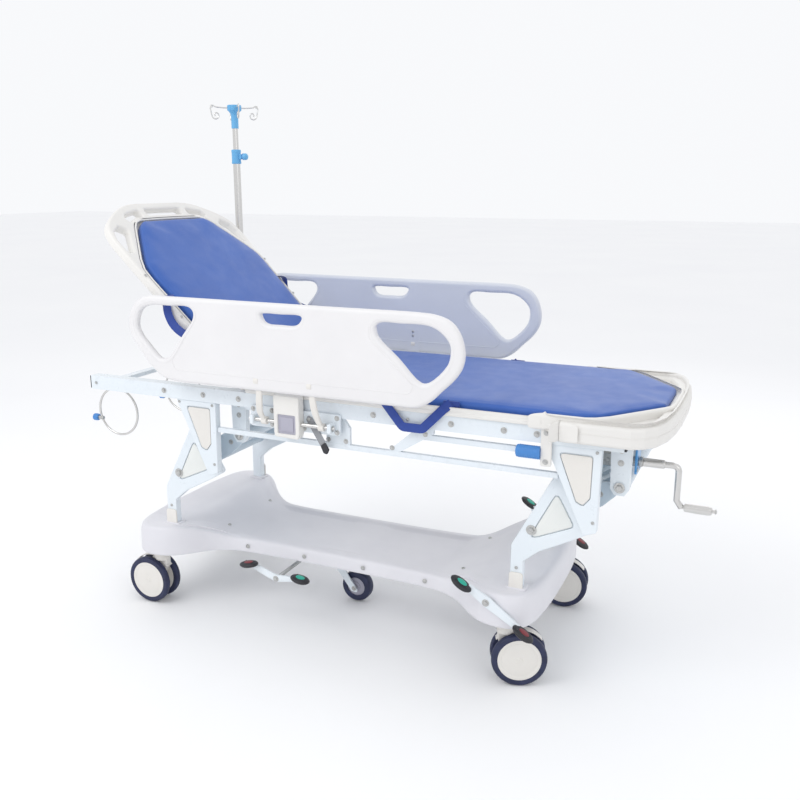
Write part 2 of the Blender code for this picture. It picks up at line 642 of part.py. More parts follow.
for k in range(4):
    a = math.radians(45 + 90 * k)
    ux, uy = math.cos(a), math.sin(a)
    path = [
        (POLE_X + ux * d, POLE_Y + uy * d, 1.5635 + z)
        for d, z in ((0.010, -0.0035), (0.030, -0.0015), (0.060, -0.004), (0.078, -0.016), (0.083, -0.032),
                     (0.075, -0.044), (0.062, -0.042), (0.056, -0.030))
    ]
    hook = sweep(path, 0.0030, 8)
    hooks = union(hooks, hook)
finish(hooks, "pole_head", "blue_plastic", pivot=(POLE_X, POLE_Y, 1.550))

# ---- oxygen cylinder rings under the head end ----
RING_X = -0.735
RING_Z = 0.600
RING_R = 0.075
for side, y in (("near", -0.215), ("far", 0.110)):
    ring = sweep([(RING_X + RING_R * math.cos(a), y, RING_Z + RING_R * math.sin(a))
                  for a in (2 * math.pi * k / 32 for k in range(32))], 0.0035, 8, closed=True)
    ring = union(ring, box(RING_X - 0.020, RING_X + 0.010, y - 0.008, y + 0.008, 0.668, 0.6917),
                 rod("x", (RING_X - 0.073, y, RING_Z - 0.028), 0.006, 0.018, 12))
    finish(ring, "cylinder_ring_" + side, "steel")
    grip = rod("x", (RING_X - 0.0925, y, RING_Z - 0.028), 0.0105, 0.020, 10)
    finish(grip, "cylinder_knob_" + side, "blue_plastic", pivot=(RING_X - 0.0925, y, RING_Z - 0.028))

# ---- crank drive ----
bracket = union(
    box(0.8625, 0.8685, CRANK_Y - 0.028, CRANK_Y + 0.028, 0.596, 0.6915),
    box(0.826, 0.8685, CRANK_Y - 0.028, CRANK_Y + 0.028, 0.6855, 0.6915))
bracket = cut(bracket, rod("x", (0.865, CRANK_Y, CRANK_Z), 0.0093, 0.05))
finish(bracket, "crank_bracket", "blue_plastic")
crank = rod("x", (0.915, CRANK_Y, CRANK_Z), 0.0090, 0.116)
crank = union(
    crank,
    rod("x", (0.785, CRANK_Y, CRANK_Z), 0.0078, 0.150),
    rod("x", (0.8570, CRANK_Y, CRANK_Z), 0.0130, 0.009),
    rod("x", (0.8745, CRANK_Y, CRANK_Z), 0.0130, 0.009),
    strut((0.966, CRANK_Y, CRANK_Z + 0.012), (0.966, CRANK_Y, 0.510), 0.0082),
    rod("x", (1.012, CRANK_Y, 0.520), 0.0047, 0.095, 12))
finish(crank, "crank_handle", "steel", pivot=(0.866, CRANK_Y, CRANK_Z))
grip = tube("x", (1.0185, CRANK_Y, 0.520), 0.0115, 0.00505, 0.066)
finish(grip, "crank_grip", "steel", pivot=(1.0185, CRANK_Y, 0.520))
nut = box(0.818, 0.8475, CRANK_Y - 0.014, CRANK_Y + 0.014, 0.6085, 0.641)
nut = cut(nut, rod("x", (0.83, CRANK_Y, CRANK_Z), 0.0082, 0.10))
finish(moved(nut, Matrix.Translation((-0.040, 0, 0))), "lift_nut", "steel", pivot=(0.793, CRANK_Y, CRANK_Z))

# ---- blue hand grip under the near side ----
grip = union(
    box(0.656, 0.684, -0.3000, -0.2903, 0.632, 0.7295),
    rod("x", (0.628, -0.2945, 0.664), 0.0165, 0.066))
grip = cut(grip, box(0.50, 0.80, -0.2902, -0.20, 0.60, 0.80))
finish(grip, "hand_grip", "blue_plastic")

# ---- castors ----
FORK_PLATE = [
    (-0.024, 0.157), (-0.020, 0.120), (0.010, 0.070), (0.028, 0.058), (0.050, 0.062), (0.054, 0.080),
    (0.040, 0.120), (0.024, 0.157),
]
for end, sx in (("head", -1), ("foot", 1)):
    for side, sy in sides():
        tag = end + "_" + side
        turn = (Matrix.Translation((sx * KING_X, sy * KING_Y, 0))
                @ Matrix.Rotation(math.radians(SWIVEL[tag]), 4, "Z"))
        fork = rod("z", (0, 0, 0.1615), 0.026, 0.016, 24)
        fork = union(
            fork,
            rod("z", (0, 0, 0.186), 0.0121, 0.040),
            prism(FORK_PLATE, "y", -0.0115, 0.0115))
        fork = cut(fork, rod("y", (TRAIL, 0, WHEEL_R), 0.0084, 0.06))
        finish(moved(fork, turn), "castor_fork_" + tag, "pp_white", pivot=(sx * KING_X, sy * KING_Y, 0.16))
        r, h = WHEEL_R, WHEEL_W / 2
        tyre = [(0.0, -h), (r * 0.55, -h), (r * 0.80, -h * 1.0), (r * 0.93, -h * 0.9), (r * 0.99, -h * 0.5),
                (r, 0.0), (r * 0.99, h * 0.5), (r * 0.93, h * 0.9), (r * 0.80, h), (r * 0.55, h), (0.0, h)]
        wheel = lathe(tyre, "y", (TRAIL, -WHEEL_Y, WHEEL_R), 24)
        wheel = union(
            wheel,
            rod("y", (TRAIL, 0, WHEEL_R), 0.0080, 0.040),
            lathe(tyre, "y", (TRAIL, WHEEL_Y, WHEEL_R), 24))
        hub = turn @ Vector((TRAIL, 0, WHEEL_R))
        finish(moved(wheel, turn), "castor_wheel_" + tag, "tyre", pivot=hub)

# ---- central lock pedals at the foot end ----
LOCK = Vector((0.532, 0, 0.247))
SHOE = [(0.0, -0.006), (0.020, -0.006), (0.024, 0.0), (0.020, 0.006), (0.0, 0.006)]
pedal = rod("y", LOCK, 0.0060, 0.640, 16)
solids = []
for s in (-1, 1):
    y0, y1 = sorted((s * 0.306, s * 0.315))
    solids.append(prism([(LOCK.x - 0.055, LOCK.z + 0.030), (LOCK.x + 0.086, LOCK.z - 0.060),
                         (LOCK.x + 0.093, LOCK.z - 0.048), (LOCK.x, LOCK.z + 0.014),
                         (LOCK.x - 0.048, LOCK.z + 0.043)], "y", y0, y1))
    tilt = Matrix.Rotation(math.radians(32), 4, "Y")
    for px, pz in ((-0.066, 0.044), (0.104, -0.063)):
        shoe = lathe(SHOE, "z", (0, 0, 0), 16)
        shoe = moved(shoe, Matrix.Translation((LOCK.x + px, s * 0.322, LOCK.z + pz)) @ tilt
                     @ Matrix.Diagonal((1.35, 0.9, 1.0, 1.0)))
        solids.append(shoe)
pedal = union(pedal, *solids)
finish(pedal, "lock_pedal", "black", pivot=LOCK)

# ---- retractable fifth wheel ----
FIFTH = Vector((-0.140, 0, 0.160))
FIFTH_CHEEK = [
    (-0.085, 0.152), (-0.060, 0.150), (0.012, 0.044), (0.008, 0.040), (-0.008, 0.042), (-0.090, 0.150),
]
FIFTH_TYRE = [
    (0.0063, -0.016), (0.044, -0.016), (0.050, -0.009), (0.050, 0.009), (0.044, 0.016), (0.0063, 0.016),
]
FIFTH_BAR = [
    (-0.225, 0.186), (-0.210, 0.192), (-0.140, 0.168), (-0.062, 0.176), (-0.056, 0.164), (-0.140, 0.150),
    (-0.170, 0.160),
]
hanger = box(-0.170, -0.110, -0.050, 0.050, 0.1795, 0.1905)
hanger = union(hanger, *[box(-0.160, -0.120, y - 0.003, y + 0.003, 0.144, 0.185) for y in (-0.046, 0.046)])
hanger = cut(hanger, rod("y", FIFTH, 0.0063, 0.20, 16))
finish(hanger, "fifth_bracket", "frame_paint")
arm = rod("y", (FIFTH.x, -0.099, FIFTH.z), 0.0060, 0.318, 16)
arm = union(
    arm,
    box(FIFTH.x - 0.010, FIFTH.x + 0.060, -0.030, 0.030, 0.150, 0.168),
    prism(FIFTH_CHEEK, "y", -0.030, -0.024),
    prism(FIFTH_CHEEK, "y", 0.024, 0.030),
    rod("y", (0, 0, 0.053), 0.0060, 0.060, 16))
wheel = lathe(FIFTH_TYRE, "y", (0, 0, 0.053), 28)
finish(wheel, "fifth_wheel", "tyre", pivot=(0, 0, 0.053))
bar = prism(FIFTH_BAR, "y", -0.262, -0.2535)
solids = [rod("y", (FIFTH.x, -0.2565, FIFTH.z), 0.013, 0.012, 16)]
for px, pz in ((-0.228, 0.194), (-0.052, 0.178)):
    shoe = lathe(SHOE, "z", (0, 0, 0), 16)
    solids.append(moved(shoe, Matrix.Translation((px, -0.270, pz)) @ Matrix.Diagonal((1.3, 0.9, 1.0, 1.0))))
finish(union(arm, bar, *solids), "fifth_arm", "frame_paint", pivot=FIFTH)
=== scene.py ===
"""Looks of the hospital stretcher trolley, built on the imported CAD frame. Metres, +X foot end, -Y near side."""
import math

import bmesh
import bpy
from mathutils import Matrix, Vector


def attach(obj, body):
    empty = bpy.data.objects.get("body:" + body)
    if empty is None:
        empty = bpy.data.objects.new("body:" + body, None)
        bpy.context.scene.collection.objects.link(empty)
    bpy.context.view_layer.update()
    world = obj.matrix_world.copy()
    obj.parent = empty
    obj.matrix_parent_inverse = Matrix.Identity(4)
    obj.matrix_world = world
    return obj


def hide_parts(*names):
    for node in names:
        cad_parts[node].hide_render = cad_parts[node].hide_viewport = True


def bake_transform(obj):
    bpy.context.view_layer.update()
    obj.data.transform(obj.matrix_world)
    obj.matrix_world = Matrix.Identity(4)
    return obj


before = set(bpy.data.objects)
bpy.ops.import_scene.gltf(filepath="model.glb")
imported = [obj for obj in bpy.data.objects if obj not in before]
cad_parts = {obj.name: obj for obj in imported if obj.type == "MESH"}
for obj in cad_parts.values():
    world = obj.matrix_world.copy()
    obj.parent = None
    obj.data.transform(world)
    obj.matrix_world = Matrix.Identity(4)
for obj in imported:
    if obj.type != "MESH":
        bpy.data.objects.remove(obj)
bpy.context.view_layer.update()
SHIFT = Vector((-0.111, -0.026, 0.0))      # the sizes below are measured from the CAD drawing's own origin

# ---- materials


class Shade:
    """A node material with small helpers; patterns run in object coordinates."""

    def __init__(self, name, rough=0.45, metal=0.0):
        self.mat = bpy.data.materials.new(name)
        self.mat.use_nodes = True
        self.tree = self.mat.node_tree
        self.shader = self.tree.nodes["Principled BSDF"]
        self.shader.inputs["Roughness"].default_value = rough
        self.shader.inputs["Metallic"].default_value = metal
        self.coord = self.add("ShaderNodeTexCoord").outputs["Object"]
        self.normal = None

    def add(self, kind, inputs=None, **settings):
        """New node; an input takes a value or another node's socket."""
        node = self.tree.nodes.new(kind)
        for key, value in settings.items():
            setattr(node, key, value)
        for key, value in (inputs or {}).items():
            if isinstance(value, bpy.types.NodeSocket):
                self.link(value, node.inputs[key])
            else:
                node.inputs[key].default_value = value
        return node

    def link(self, a, b):
        self.tree.links.new(a, b)

    def stretched(self, scale):
        return self.add("ShaderNodeMapping", {"Scale": scale, "Vector": self.coord}).outputs["Vector"]

    def noise(self, scale, detail=3.0, rough=0.5, vector=None):
        inputs = {"Scale": scale, "Detail": detail, "Roughness": rough, "Vector": vector or self.coord}
        return self.add("ShaderNodeTexNoise", inputs).outputs["Fac"]

    def wave(self, scale, direction, distortion):
        inputs = {"Scale": scale, "Distortion": distortion, "Vector": self.coord}
        node = self.add("ShaderNodeTexWave", inputs, wave_type="BANDS", bands_direction=direction)
        return node.outputs["Fac"]

    def math(self, operation, a, b):
        return self.add("ShaderNodeMath", {0: a, 1: b}, operation=operation).outputs[0]

    def ramp(self, factor, stops):
        node = self.add("ShaderNodeValToRGB")
        for element, (place, colour) in zip(node.color_ramp.elements, stops):
            element.position = place
            element.color = (*colour, 1.0)
        self.link(factor, node.inputs["Fac"])
        return node.outputs["Color"]

    def span(self, factor, low, high, start=0.3, end=0.7):
        inputs = {"From Min": start, "From Max": end, "To Min": low, "To Max": high, "Value": factor}
        return self.add("ShaderNodeMapRange", inputs).outputs["Result"]

    def mix(self, factor, a, b):
        node = self.add("ShaderNodeMix", data_type="RGBA")
        self.link(factor, node.inputs["Factor"])
        for index, value in ((6, a), (7, b)):
            if isinstance(value, tuple):
                node.inputs[index].default_value = (*value, 1.0)
            else:
                self.link(value, node.inputs[index])
        return node.outputs[2]

    def colour(self, socket):
        self.link(socket, self.shader.inputs["Base Color"])
        return self

    def roughness(self, socket):
        self.link(socket, self.shader.inputs["Roughness"])
        return self

    def bump(self, height, strength, distance=0.001):
        node = self.add("ShaderNodeBump")
        node.inputs["Strength"].default_value = strength
        node.inputs["Distance"].default_value = distance
        self.link(height, node.inputs["Height"])
        if self.normal:
            self.link(self.normal, node.inputs["Normal"])
        self.normal = node.outputs["Normal"]
        self.link(self.normal, self.shader.inputs["Normal"])
        return self

    def edges(self):
        """Bright on convex edges, for rubbed corners."""
        return self.span(self.add("ShaderNodeNewGeometry").outputs["Pointiness"], 0.0, 1.0, 0.56, 0.66)

    def set(self, **values):
        for key, value in values.items():
            self.shader.inputs[key.replace("_", " ")].default_value = value
        return self


def plastic(name, light, dark, rough=(0.38, 0.5), grain=900.0, depth=0.12):
    """Moulded plastic: slow tone drift, a fine spark-eroded grain and slightly uneven gloss."""
    s = Shade(name)
    s.colour(s.ramp(s.noise(7.0, 4.0), ((0.3, dark), (0.7, light))))
    s.roughness(s.span(s.noise(35.0, 3.0), *rough))
    s.bump(s.noise(grain, 2.0), depth, 0.0004)
    s.bump(s.noise(22.0, 2.0), 0.05, 0.002)
    return s


def paint(name, light, dark, worn, rough=(0.26, 0.4)):
    """Powder-coated steel: orange peel, slow tone drift, corners rubbed a little."""
    s = Shade(name)
    body = s.ramp(s.noise(5.0, 4.0), ((0.3, dark), (0.7, light)))
    rub = s.math("MULTIPLY", s.edges(), s.span(s.noise(60.0, 4.0), 0.0, 0.22, 0.5, 0.7))
    s.colour(s.mix(rub, body, worn))
    s.roughness(s.span(s.noise(40.0, 3.0), *rough))
    s.bump(s.noise(420.0, 2.0), 0.1, 0.0005)
    s.set(Coat_Weight=0.25, Coat_Roughness=0.15)
    return s


def metal(name, light, dark, rough, stretch=(1.0, 1.0, 40.0), fine=160.0):
    """Drawn or brushed steel with fine lines along one direction."""
    s = Shade(name, metal=1.0)
    lines = s.noise(fine, 4.0, 0.6, s.stretched(stretch))
    s.colour(s.ramp(lines, ((0.25, dark), (0.75, light))))
    s.roughness(s.span(lines, *rough))
    s.bump(lines, 0.06, 0.0003)
    return s


def rubber(name, light, dark):
    s = Shade(name)
    s.colour(s.ramp(s.noise(30.0, 4.0), ((0.35, dark), (0.7, light))))
    s.roughness(s.span(s.noise(90.0, 3.0), 0.42, 0.62))
    s.bump(s.noise(700.0, 2.0), 0.15, 0.0004)
    return s


def fabric(name, light, dark, weave=1500.0, sheen=0.25):
    """Coated woven nylon: two crossing thread directions, soft creases and a faint sheen."""
    s = Shade(name, rough=0.6)
    warp = s.wave(weave / 6.0, "X", distortion=0.3)
    weft = s.wave(weave / 6.0, "Y", distortion=0.3)
    cloth = s.math("MULTIPLY", warp, weft)
    tone = s.math("ADD", s.math("MULTIPLY", s.noise(6.0, 4.0), 0.75), s.math("MULTIPLY", cloth, 0.25))
    s.colour(s.ramp(tone, ((0.25, dark), (0.75, light))))
    s.roughness(s.span(s.noise(25.0, 3.0), 0.48, 0.62))
    s.bump(cloth, 0.2, 0.0003)
    s.bump(s.noise(14.0, 5.0, 0.55), 0.16, 0.004)
    s.set(Sheen_Weight=sheen, Sheen_Roughness=0.45)
    return s


# the pad's side cloth is a darker copy of the pad cloth: painted shade on the pad's side walls
M = {"rail": plastic("rail_plastic", (0.8, 0.79, 0.795), (0.765, 0.755, 0.762)),
    # far rail plastic: a darker, bluer copy of the rail plastic, painted shade on the far rail
    "rail_far": plastic("rail_plastic_far_painted_shade", (0.66, 0.685, 0.74), (0.62, 0.645, 0.7)),
    "lever": plastic("lever_plastic", (0.3, 0.31, 0.33), (0.24, 0.25, 0.27)), "sky": plastic("sky_moulding",
    (0.16, 0.46, 0.76), (0.12, 0.4, 0.7)), "pad_wall_painted_shade": fabric("pad_wall_cloth_painted_shade", (0.046, 0.115, 0.4),
    (0.034, 0.09, 0.34)), "board": plastic("board_plastic", (0.8, 0.785, 0.755), (0.765, 0.75, 0.725)),
    "cream": plastic("cream_plastic", (0.79, 0.765, 0.725), (0.75, 0.728, 0.69)),
    "insert": plastic("insert_plastic", (0.8, 0.815, 0.79), (0.75, 0.77, 0.75)),
    "abs": plastic("cover_plastic", (0.74, 0.735, 0.77), (0.7, 0.695, 0.735)),
    "window": plastic("window_plastic", (0.45, 0.44, 0.52), (0.38, 0.375, 0.45)),
    "frame": paint("frame_enamel", (0.78, 0.83, 0.87), (0.73, 0.79, 0.84), (0.5, 0.54, 0.58)),
    "arm": paint("arm_enamel", (0.58, 0.67, 0.75), (0.52, 0.62, 0.7), (0.3, 0.33, 0.37)),
    "blue_paint": paint("blue_enamel", (0.09, 0.33, 0.68), (0.07, 0.28, 0.62), (0.04, 0.1, 0.25)),
    "blue": plastic("blue_moulding", (0.075, 0.27, 0.64), (0.055, 0.22, 0.57)),
    "black": plastic("black_moulding", (0.028, 0.028, 0.034), (0.016, 0.016, 0.02), (0.42, 0.58)),
    "steel": metal("polished_steel", (0.74, 0.73, 0.71), (0.58, 0.57, 0.56), (0.16, 0.3)),
    "zinc": metal("zinc_fastener", (0.62, 0.62, 0.6), (0.44, 0.44, 0.44), (0.25, 0.42), (1.0, 1.0, 1.0)),
    "tyre": rubber("tyre_rubber", (0.022, 0.03, 0.085), (0.012, 0.017, 0.055)),
    "green": plastic("green_insert", (0.03, 0.45, 0.33), (0.02, 0.37, 0.27)), "red": plastic("red_insert",
    (0.24, 0.035, 0.045), (0.18, 0.022, 0.03)), "pad": fabric("pad_cloth", (0.036, 0.128, 0.47),
    (0.027, 0.102, 0.405)), "strap": fabric("strap_webbing", (0.018, 0.06, 0.33), (0.01, 0.04, 0.25), 2400.0),
    }

KEEP = {"base_frame": "frame", "base_cover": "abs", "bed_frame": "frame", "foot_board": "board",
    "backrest_board": "board", "pad_foot": "pad", "pad_back": "pad", "backrest_handle": "steel",
    "gas_spring_cylinder": "black", "gas_spring_rod": "steel", "pole_tube": "steel", "pole_rod": "steel",
    "pole_clamp": "blue", "pole_knob": "blue", "pole_head": "blue", "crank_bracket": "blue_paint",
    "crank_handle": "steel", "crank_grip": "steel", "lift_nut": "zinc", "hand_grip": "blue",
    "lock_pedal": "black", "fifth_bracket": "frame", "fifth_arm": "frame", "fifth_wheel": "tyre"}
for name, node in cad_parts.items():
    kind = KEEP.get(name)
    if kind is None:
        for head, other in (("lower_leg", "frame"), ("upper_leg", "frame"), ("panel_", "insert"),
                ("lift_arm", "arm"), ("rail_lever", "black"), ("rail_housing", "cream"), ("rail_", "rail"),
                ("cylinder_ring", "steel"), ("cylinder_knob", "blue"), ("castor_fork", "cream"),
                ("castor_wheel", "tyre")):
            if name.startswith(head):
                kind = other
                break
    for slot in node.material_slots:
        slot.material = M[kind].mat

# ---- solid builders
TURN = {"x": Matrix.Rotation(math.pi / 2, 4, "Y"), "y": Matrix.Rotation(-math.pi / 2, 4, "X"),
    "z": Matrix.Identity(4)}


def placed(name, data):
    obj = bpy.data.objects.new(name, data)
    bpy.context.scene.collection.objects.link(obj)
    return obj


def evaluated_mesh(obj):
    return bpy.data.meshes.new_from_object(obj.evaluated_get(bpy.context.evaluated_depsgraph_get()))


def outward(bm):
    """Turns every face outwards."""
    bmesh.ops.recalc_face_normals(bm, faces=bm.faces[:])


def bridge(bm, one, two):
    """Band of faces between two closed rings of the same size."""
    count = len(one)
    return [bm.faces.new((one[k], one[(k + 1) % count], two[(k + 1) % count], two[k])) for k in range(count)]


def circle(x, y, radius, count):
    angles = (2 * math.pi * k / count for k in range(count))
    return [(x + radius * math.cos(a), y + radius * math.sin(a), 0) for a in angles]


def rect(x0, x1, y0, y1):
    return [(x0, y0, 0), (x1, y0, 0), (x1, y1, 0), (x0, y1, 0)]


def block(x0, x1, y0, y1, z0, z1, edge=0.0015, steps=2):
    """Box with rounded edges; the two y values may come in either order."""
    y0, y1 = sorted((y0, y1))
    bm = bmesh.new()
    bmesh.ops.create_cube(bm, size=1.0)
    for v in bm.verts:
        v.co = Vector((x0 if v.co.x < 0 else x1, y0 if v.co.y < 0 else y1, z0 if v.co.z < 0 else z1))
    bmesh.ops.bevel(bm, geom=bm.edges[:], offset=edge, segments=steps, affect="EDGES", profile=0.5)
    return bm


def turned(profile, axis="z", centre=(0, 0, 0), segments=40):
    """Profile of (radius, height) turned about an axis; ends on the axis close by themselves."""
    bm = bmesh.new()
    rings = []
    for r, h in profile:
        if r < 1e-6:
            rings.append([bm.verts.new((0, 0, h))])
        else:
            rings.append([bm.verts.new((r * math.cos(a), r * math.sin(a), h))
                for a in (2 * math.pi * k / segments for k in range(segments))])
    closed = len(rings[0]) > 1
    pairs = list(zip(rings, rings[1:])) + ([(rings[-1], rings[0])] if closed else [])
    for one, two in pairs:
        if len(one) == len(two):
            bridge(bm, one, two)
            continue
        for k in range(segments):
            n = (k + 1) % segments
            bm.faces.new((one[0], two[k], two[n]) if len(one) == 1 else (one[k], one[n], two[0]))
    outward(bm)
    bm.transform(Matrix.Translation(centre) @ TURN[axis])
    return bm


def pin(p, q, radius, edge=0.001, segments=24):
    """Round bar from p to q with rounded rims."""
    p, q = Vector(p), Vector(q)
    length = (q - p).length
    bm = turned([(0, 0), (radius - edge, 0), (radius - edge * 0.3, edge * 0.3), (radius, edge),
        (radius, length - edge), (radius - edge * 0.3, length - edge * 0.3), (radius - edge, length),
        (0, length)], "z", (0, 0, 0), segments)
    bm.transform(Matrix.Translation(p) @ (q - p).to_track_quat("Z", "Y").to_matrix().to_4x4())
    return bm


def ring_frames(points, closed):
    """Parallel-transported side directions along a path."""
    count = len(points)
    frames = []
    side = None
    for i, p in enumerate(points):
        before = points[(i - 1) % count] if (closed or i > 0) else p
        after = points[(i + 1) % count] if (closed or i < count - 1) else p
        along = (after - before).normalized()
        if side is None:
            side = along.orthogonal().normalized()
        side = (side - along * side.dot(along)).normalized()
        frames.append((p, side, along.cross(side)))
    return frames


def wire(path, radius, segments=12, closed=False):
    """Round wire or tube along a path, with domed ends."""
    points = [Vector(p) for p in path]
    bm = bmesh.new()
    rings = []
    frames = ring_frames(points, closed)
    for p, side, other in frames:
        rings.append([bm.verts.new(p + radius * (math.cos(a) * side + math.sin(a) * other))
            for a in (2 * math.pi * k / segments for k in range(segments))])
    spans = list(zip(rings, rings[1:])) + ([(rings[-1], rings[0])] if closed else [])
    for one, two in spans:
        bridge(bm, one, two)
    if not closed:
        for ring, tip, inner in ((rings[0], 0, 1), (rings[-1], -1, -2)):
            out = (points[tip] - points[inner]).normalized() * radius * 0.45
            small = [bm.verts.new(points[tip] + (v.co - points[tip]) * 0.72 + out * 0.7) for v in ring]
            top = bm.verts.new(points[tip] + out)
            for k in range(segments):
                n = (k + 1) % segments
                bm.faces.new((ring[k], ring[n], small[n], small[k]))
                bm.faces.new((small[k], small[n], top))
    outward(bm)
    return bm


def curve_through(points, steps=6, closed=False):
    """Centripetal Catmull-Rom curve through the points."""
    pts = [Vector(p) for p in points]
    count = len(pts)
    out = []
    for i in range(count if closed else count - 1):
        p1, p2 = pts[i], pts[(i + 1) % count]
        p0 = pts[(i - 1) % count] if (closed or i > 0) else p1 * 2 - p2
        p3 = pts[(i + 2) % count] if (closed or i < count - 2) else p2 * 2 - p1
        t0 = 0.0
        t1 = t0 + max((p1 - p0).length, 1e-6) ** 0.5
        t2 = t1 + max((p2 - p1).length, 1e-6) ** 0.5
        t3 = t2 + max((p3 - p2).length, 1e-6) ** 0.5
        for k in range(steps):
            t = t1 + (t2 - t1) * k / steps
            a1 = p0 * ((t1 - t) / (t1 - t0)) + p1 * ((t - t0) / (t1 - t0))
            a2 = p1 * ((t2 - t) / (t2 - t1)) + p2 * ((t - t1) / (t2 - t1))
            a3 = p2 * ((t3 - t) / (t3 - t2)) + p3 * ((t - t2) / (t3 - t2))
            b1 = a1 * ((t2 - t) / (t2 - t0)) + a2 * ((t - t0) / (t2 - t0))
            b2 = a2 * ((t3 - t) / (t3 - t1)) + a3 * ((t - t1) / (t3 - t1))
            out.append(b1 * ((t2 - t) / (t2 - t1)) + b2 * ((t - t1) / (t2 - t1)))
    if not closed:
        out.append(pts[-1])
    return out


def filleted(points, radius, steps=4, closed=True):
    """Polygon or path with its corners turned into arcs."""
    pts = [Vector(p) for p in points]
    count = len(pts)
    out = []
    for i, p in enumerate(pts):
        if not closed and i in (0, count - 1):
            out.append(p)
            continue
        a, b = pts[(i - 1) % count] - p, pts[(i + 1) % count] - p
        half = a.angle(b) / 2
        if half > math.pi / 2 - 0.02:
            out.append(p)
            continue
        reach = min(radius / math.tan(half), a.length * 0.48, b.length * 0.48)
        start, end = p + a.normalized() * reach, p + b.normalized() * reach
        for k in range(steps + 1):
            t = k / steps
            out.append(start * (1 - t) ** 2 + p * 2 * t * (1 - t) + end * t ** 2)
    return out


def offset_loop(loop, amount):
    """Closed 2-D loop moved outwards (positive) or inwards."""
    pts = [Vector((p[0], p[1])) for p in loop]
    area_sum = sum(a.x * b.y - b.x * a.y for a, b in zip(pts, pts[1:] + pts[:1]))
    sign = 1.0 if area_sum > 0 else -1.0
    out = []
    for i, p in enumerate(pts):
        a = (p - pts[i - 1]).normalized()
        b = (pts[(i + 1) % len(pts)] - p).normalized()
        na, nb = Vector((a.y, -a.x)), Vector((b.y, -b.x))
        n = (na + nb)
        if n.length < 1e-6:
            n = na
        n.normalize()
        out.append(p + n * sign * amount / max(n.dot(na), 0.5))
    return out


def slab(outline, holes=(), low=0.0, high=0.01, edge=0.002, plane="xz", steps=3):
    """Plate with holes and rounded edges, made as a filled curve. plane names the outline's two axes."""
    low, high = sorted((low, high))
    curve = bpy.data.curves.new("plate", "CURVE")
    curve.dimensions = "2D"
    curve.fill_mode = "BOTH"
    curve.extrude = (high - low) / 2 - edge
    curve.bevel_depth = edge
    curve.bevel_resolution = steps - 1
    for number, loop in enumerate([outline, *holes]):
        inset = offset_loop(loop, -edge if number == 0 else edge)
        area_sum = sum(a.x * b.y - b.x * a.y for a, b in zip(inset, inset[1:] + inset[:1]))
        if (area_sum > 0) != (number == 0):
            inset.reverse()
        spline = curve.splines.new("POLY")
        spline.points.add(len(inset) - 1)
        for point, p in zip(spline.points, inset):
            point.co = (p.x, p.y, 0.0, 1.0)
        spline.use_cyclic_u = True
    holder = placed("plate", curve)
    bpy.context.view_layer.update()
    mesh = evaluated_mesh(holder)
    bpy.data.objects.remove(holder, do_unlink=True)
    bpy.data.curves.remove(curve)
    bm = bmesh.new()
    bm.from_mesh(mesh)
    bpy.data.meshes.remove(mesh)
    bmesh.ops.remove_doubles(bm, verts=bm.verts[:], dist=1e-5)
    middle = (low + high) / 2
    place = {"xy": lambda a, b, d: (a, b, d + middle), "xz": lambda a, b, d: (a, d + middle, b),
        "yz": lambda a, b, d: (d + middle, a, b), }[plane]
    for v in bm.verts:
        v.co = Vector(place(v.co.x, v.co.y, v.co.z))
    outward(bm)
    return bm


def ribbon(path, normal, width, thick):
    """Flat strap whose face looks along the normal."""
    points = [Vector(p) for p in path]
    normal = Vector(normal).normalized()
    bm = bmesh.new()
    rows = []
    for i, p in enumerate(points):
        before = points[max(i - 1, 0)]
        after = points[min(i + 1, len(points) - 1)]
        across = (after - before).normalized().cross(normal).normalized()
        shape = ((-0.5, -0.3), (-0.46, -0.5), (0.46, -0.5), (0.5, -0.3), (0.5, 0.3), (0.46, 0.5),
            (-0.46, 0.5), (-0.5, 0.3))
        rows.append([bm.verts.new(p + across * width * a + normal * thick * b) for a, b in shape])
    for one, two in zip(rows, rows[1:]):
        bridge(bm, one, two)
    bm.faces.new(rows[0])
    bm.faces.new(list(reversed(rows[-1])))
    outward(bm)
    return bm


def aimed(bm, place, direction):
    """Turns something built along +Z to point along a direction, at a place."""
    turn = Vector(direction).to_track_quat("Z", "Y").to_matrix().to_4x4()
    bm.transform(Matrix.Translation(place) @ turn)
    return bm


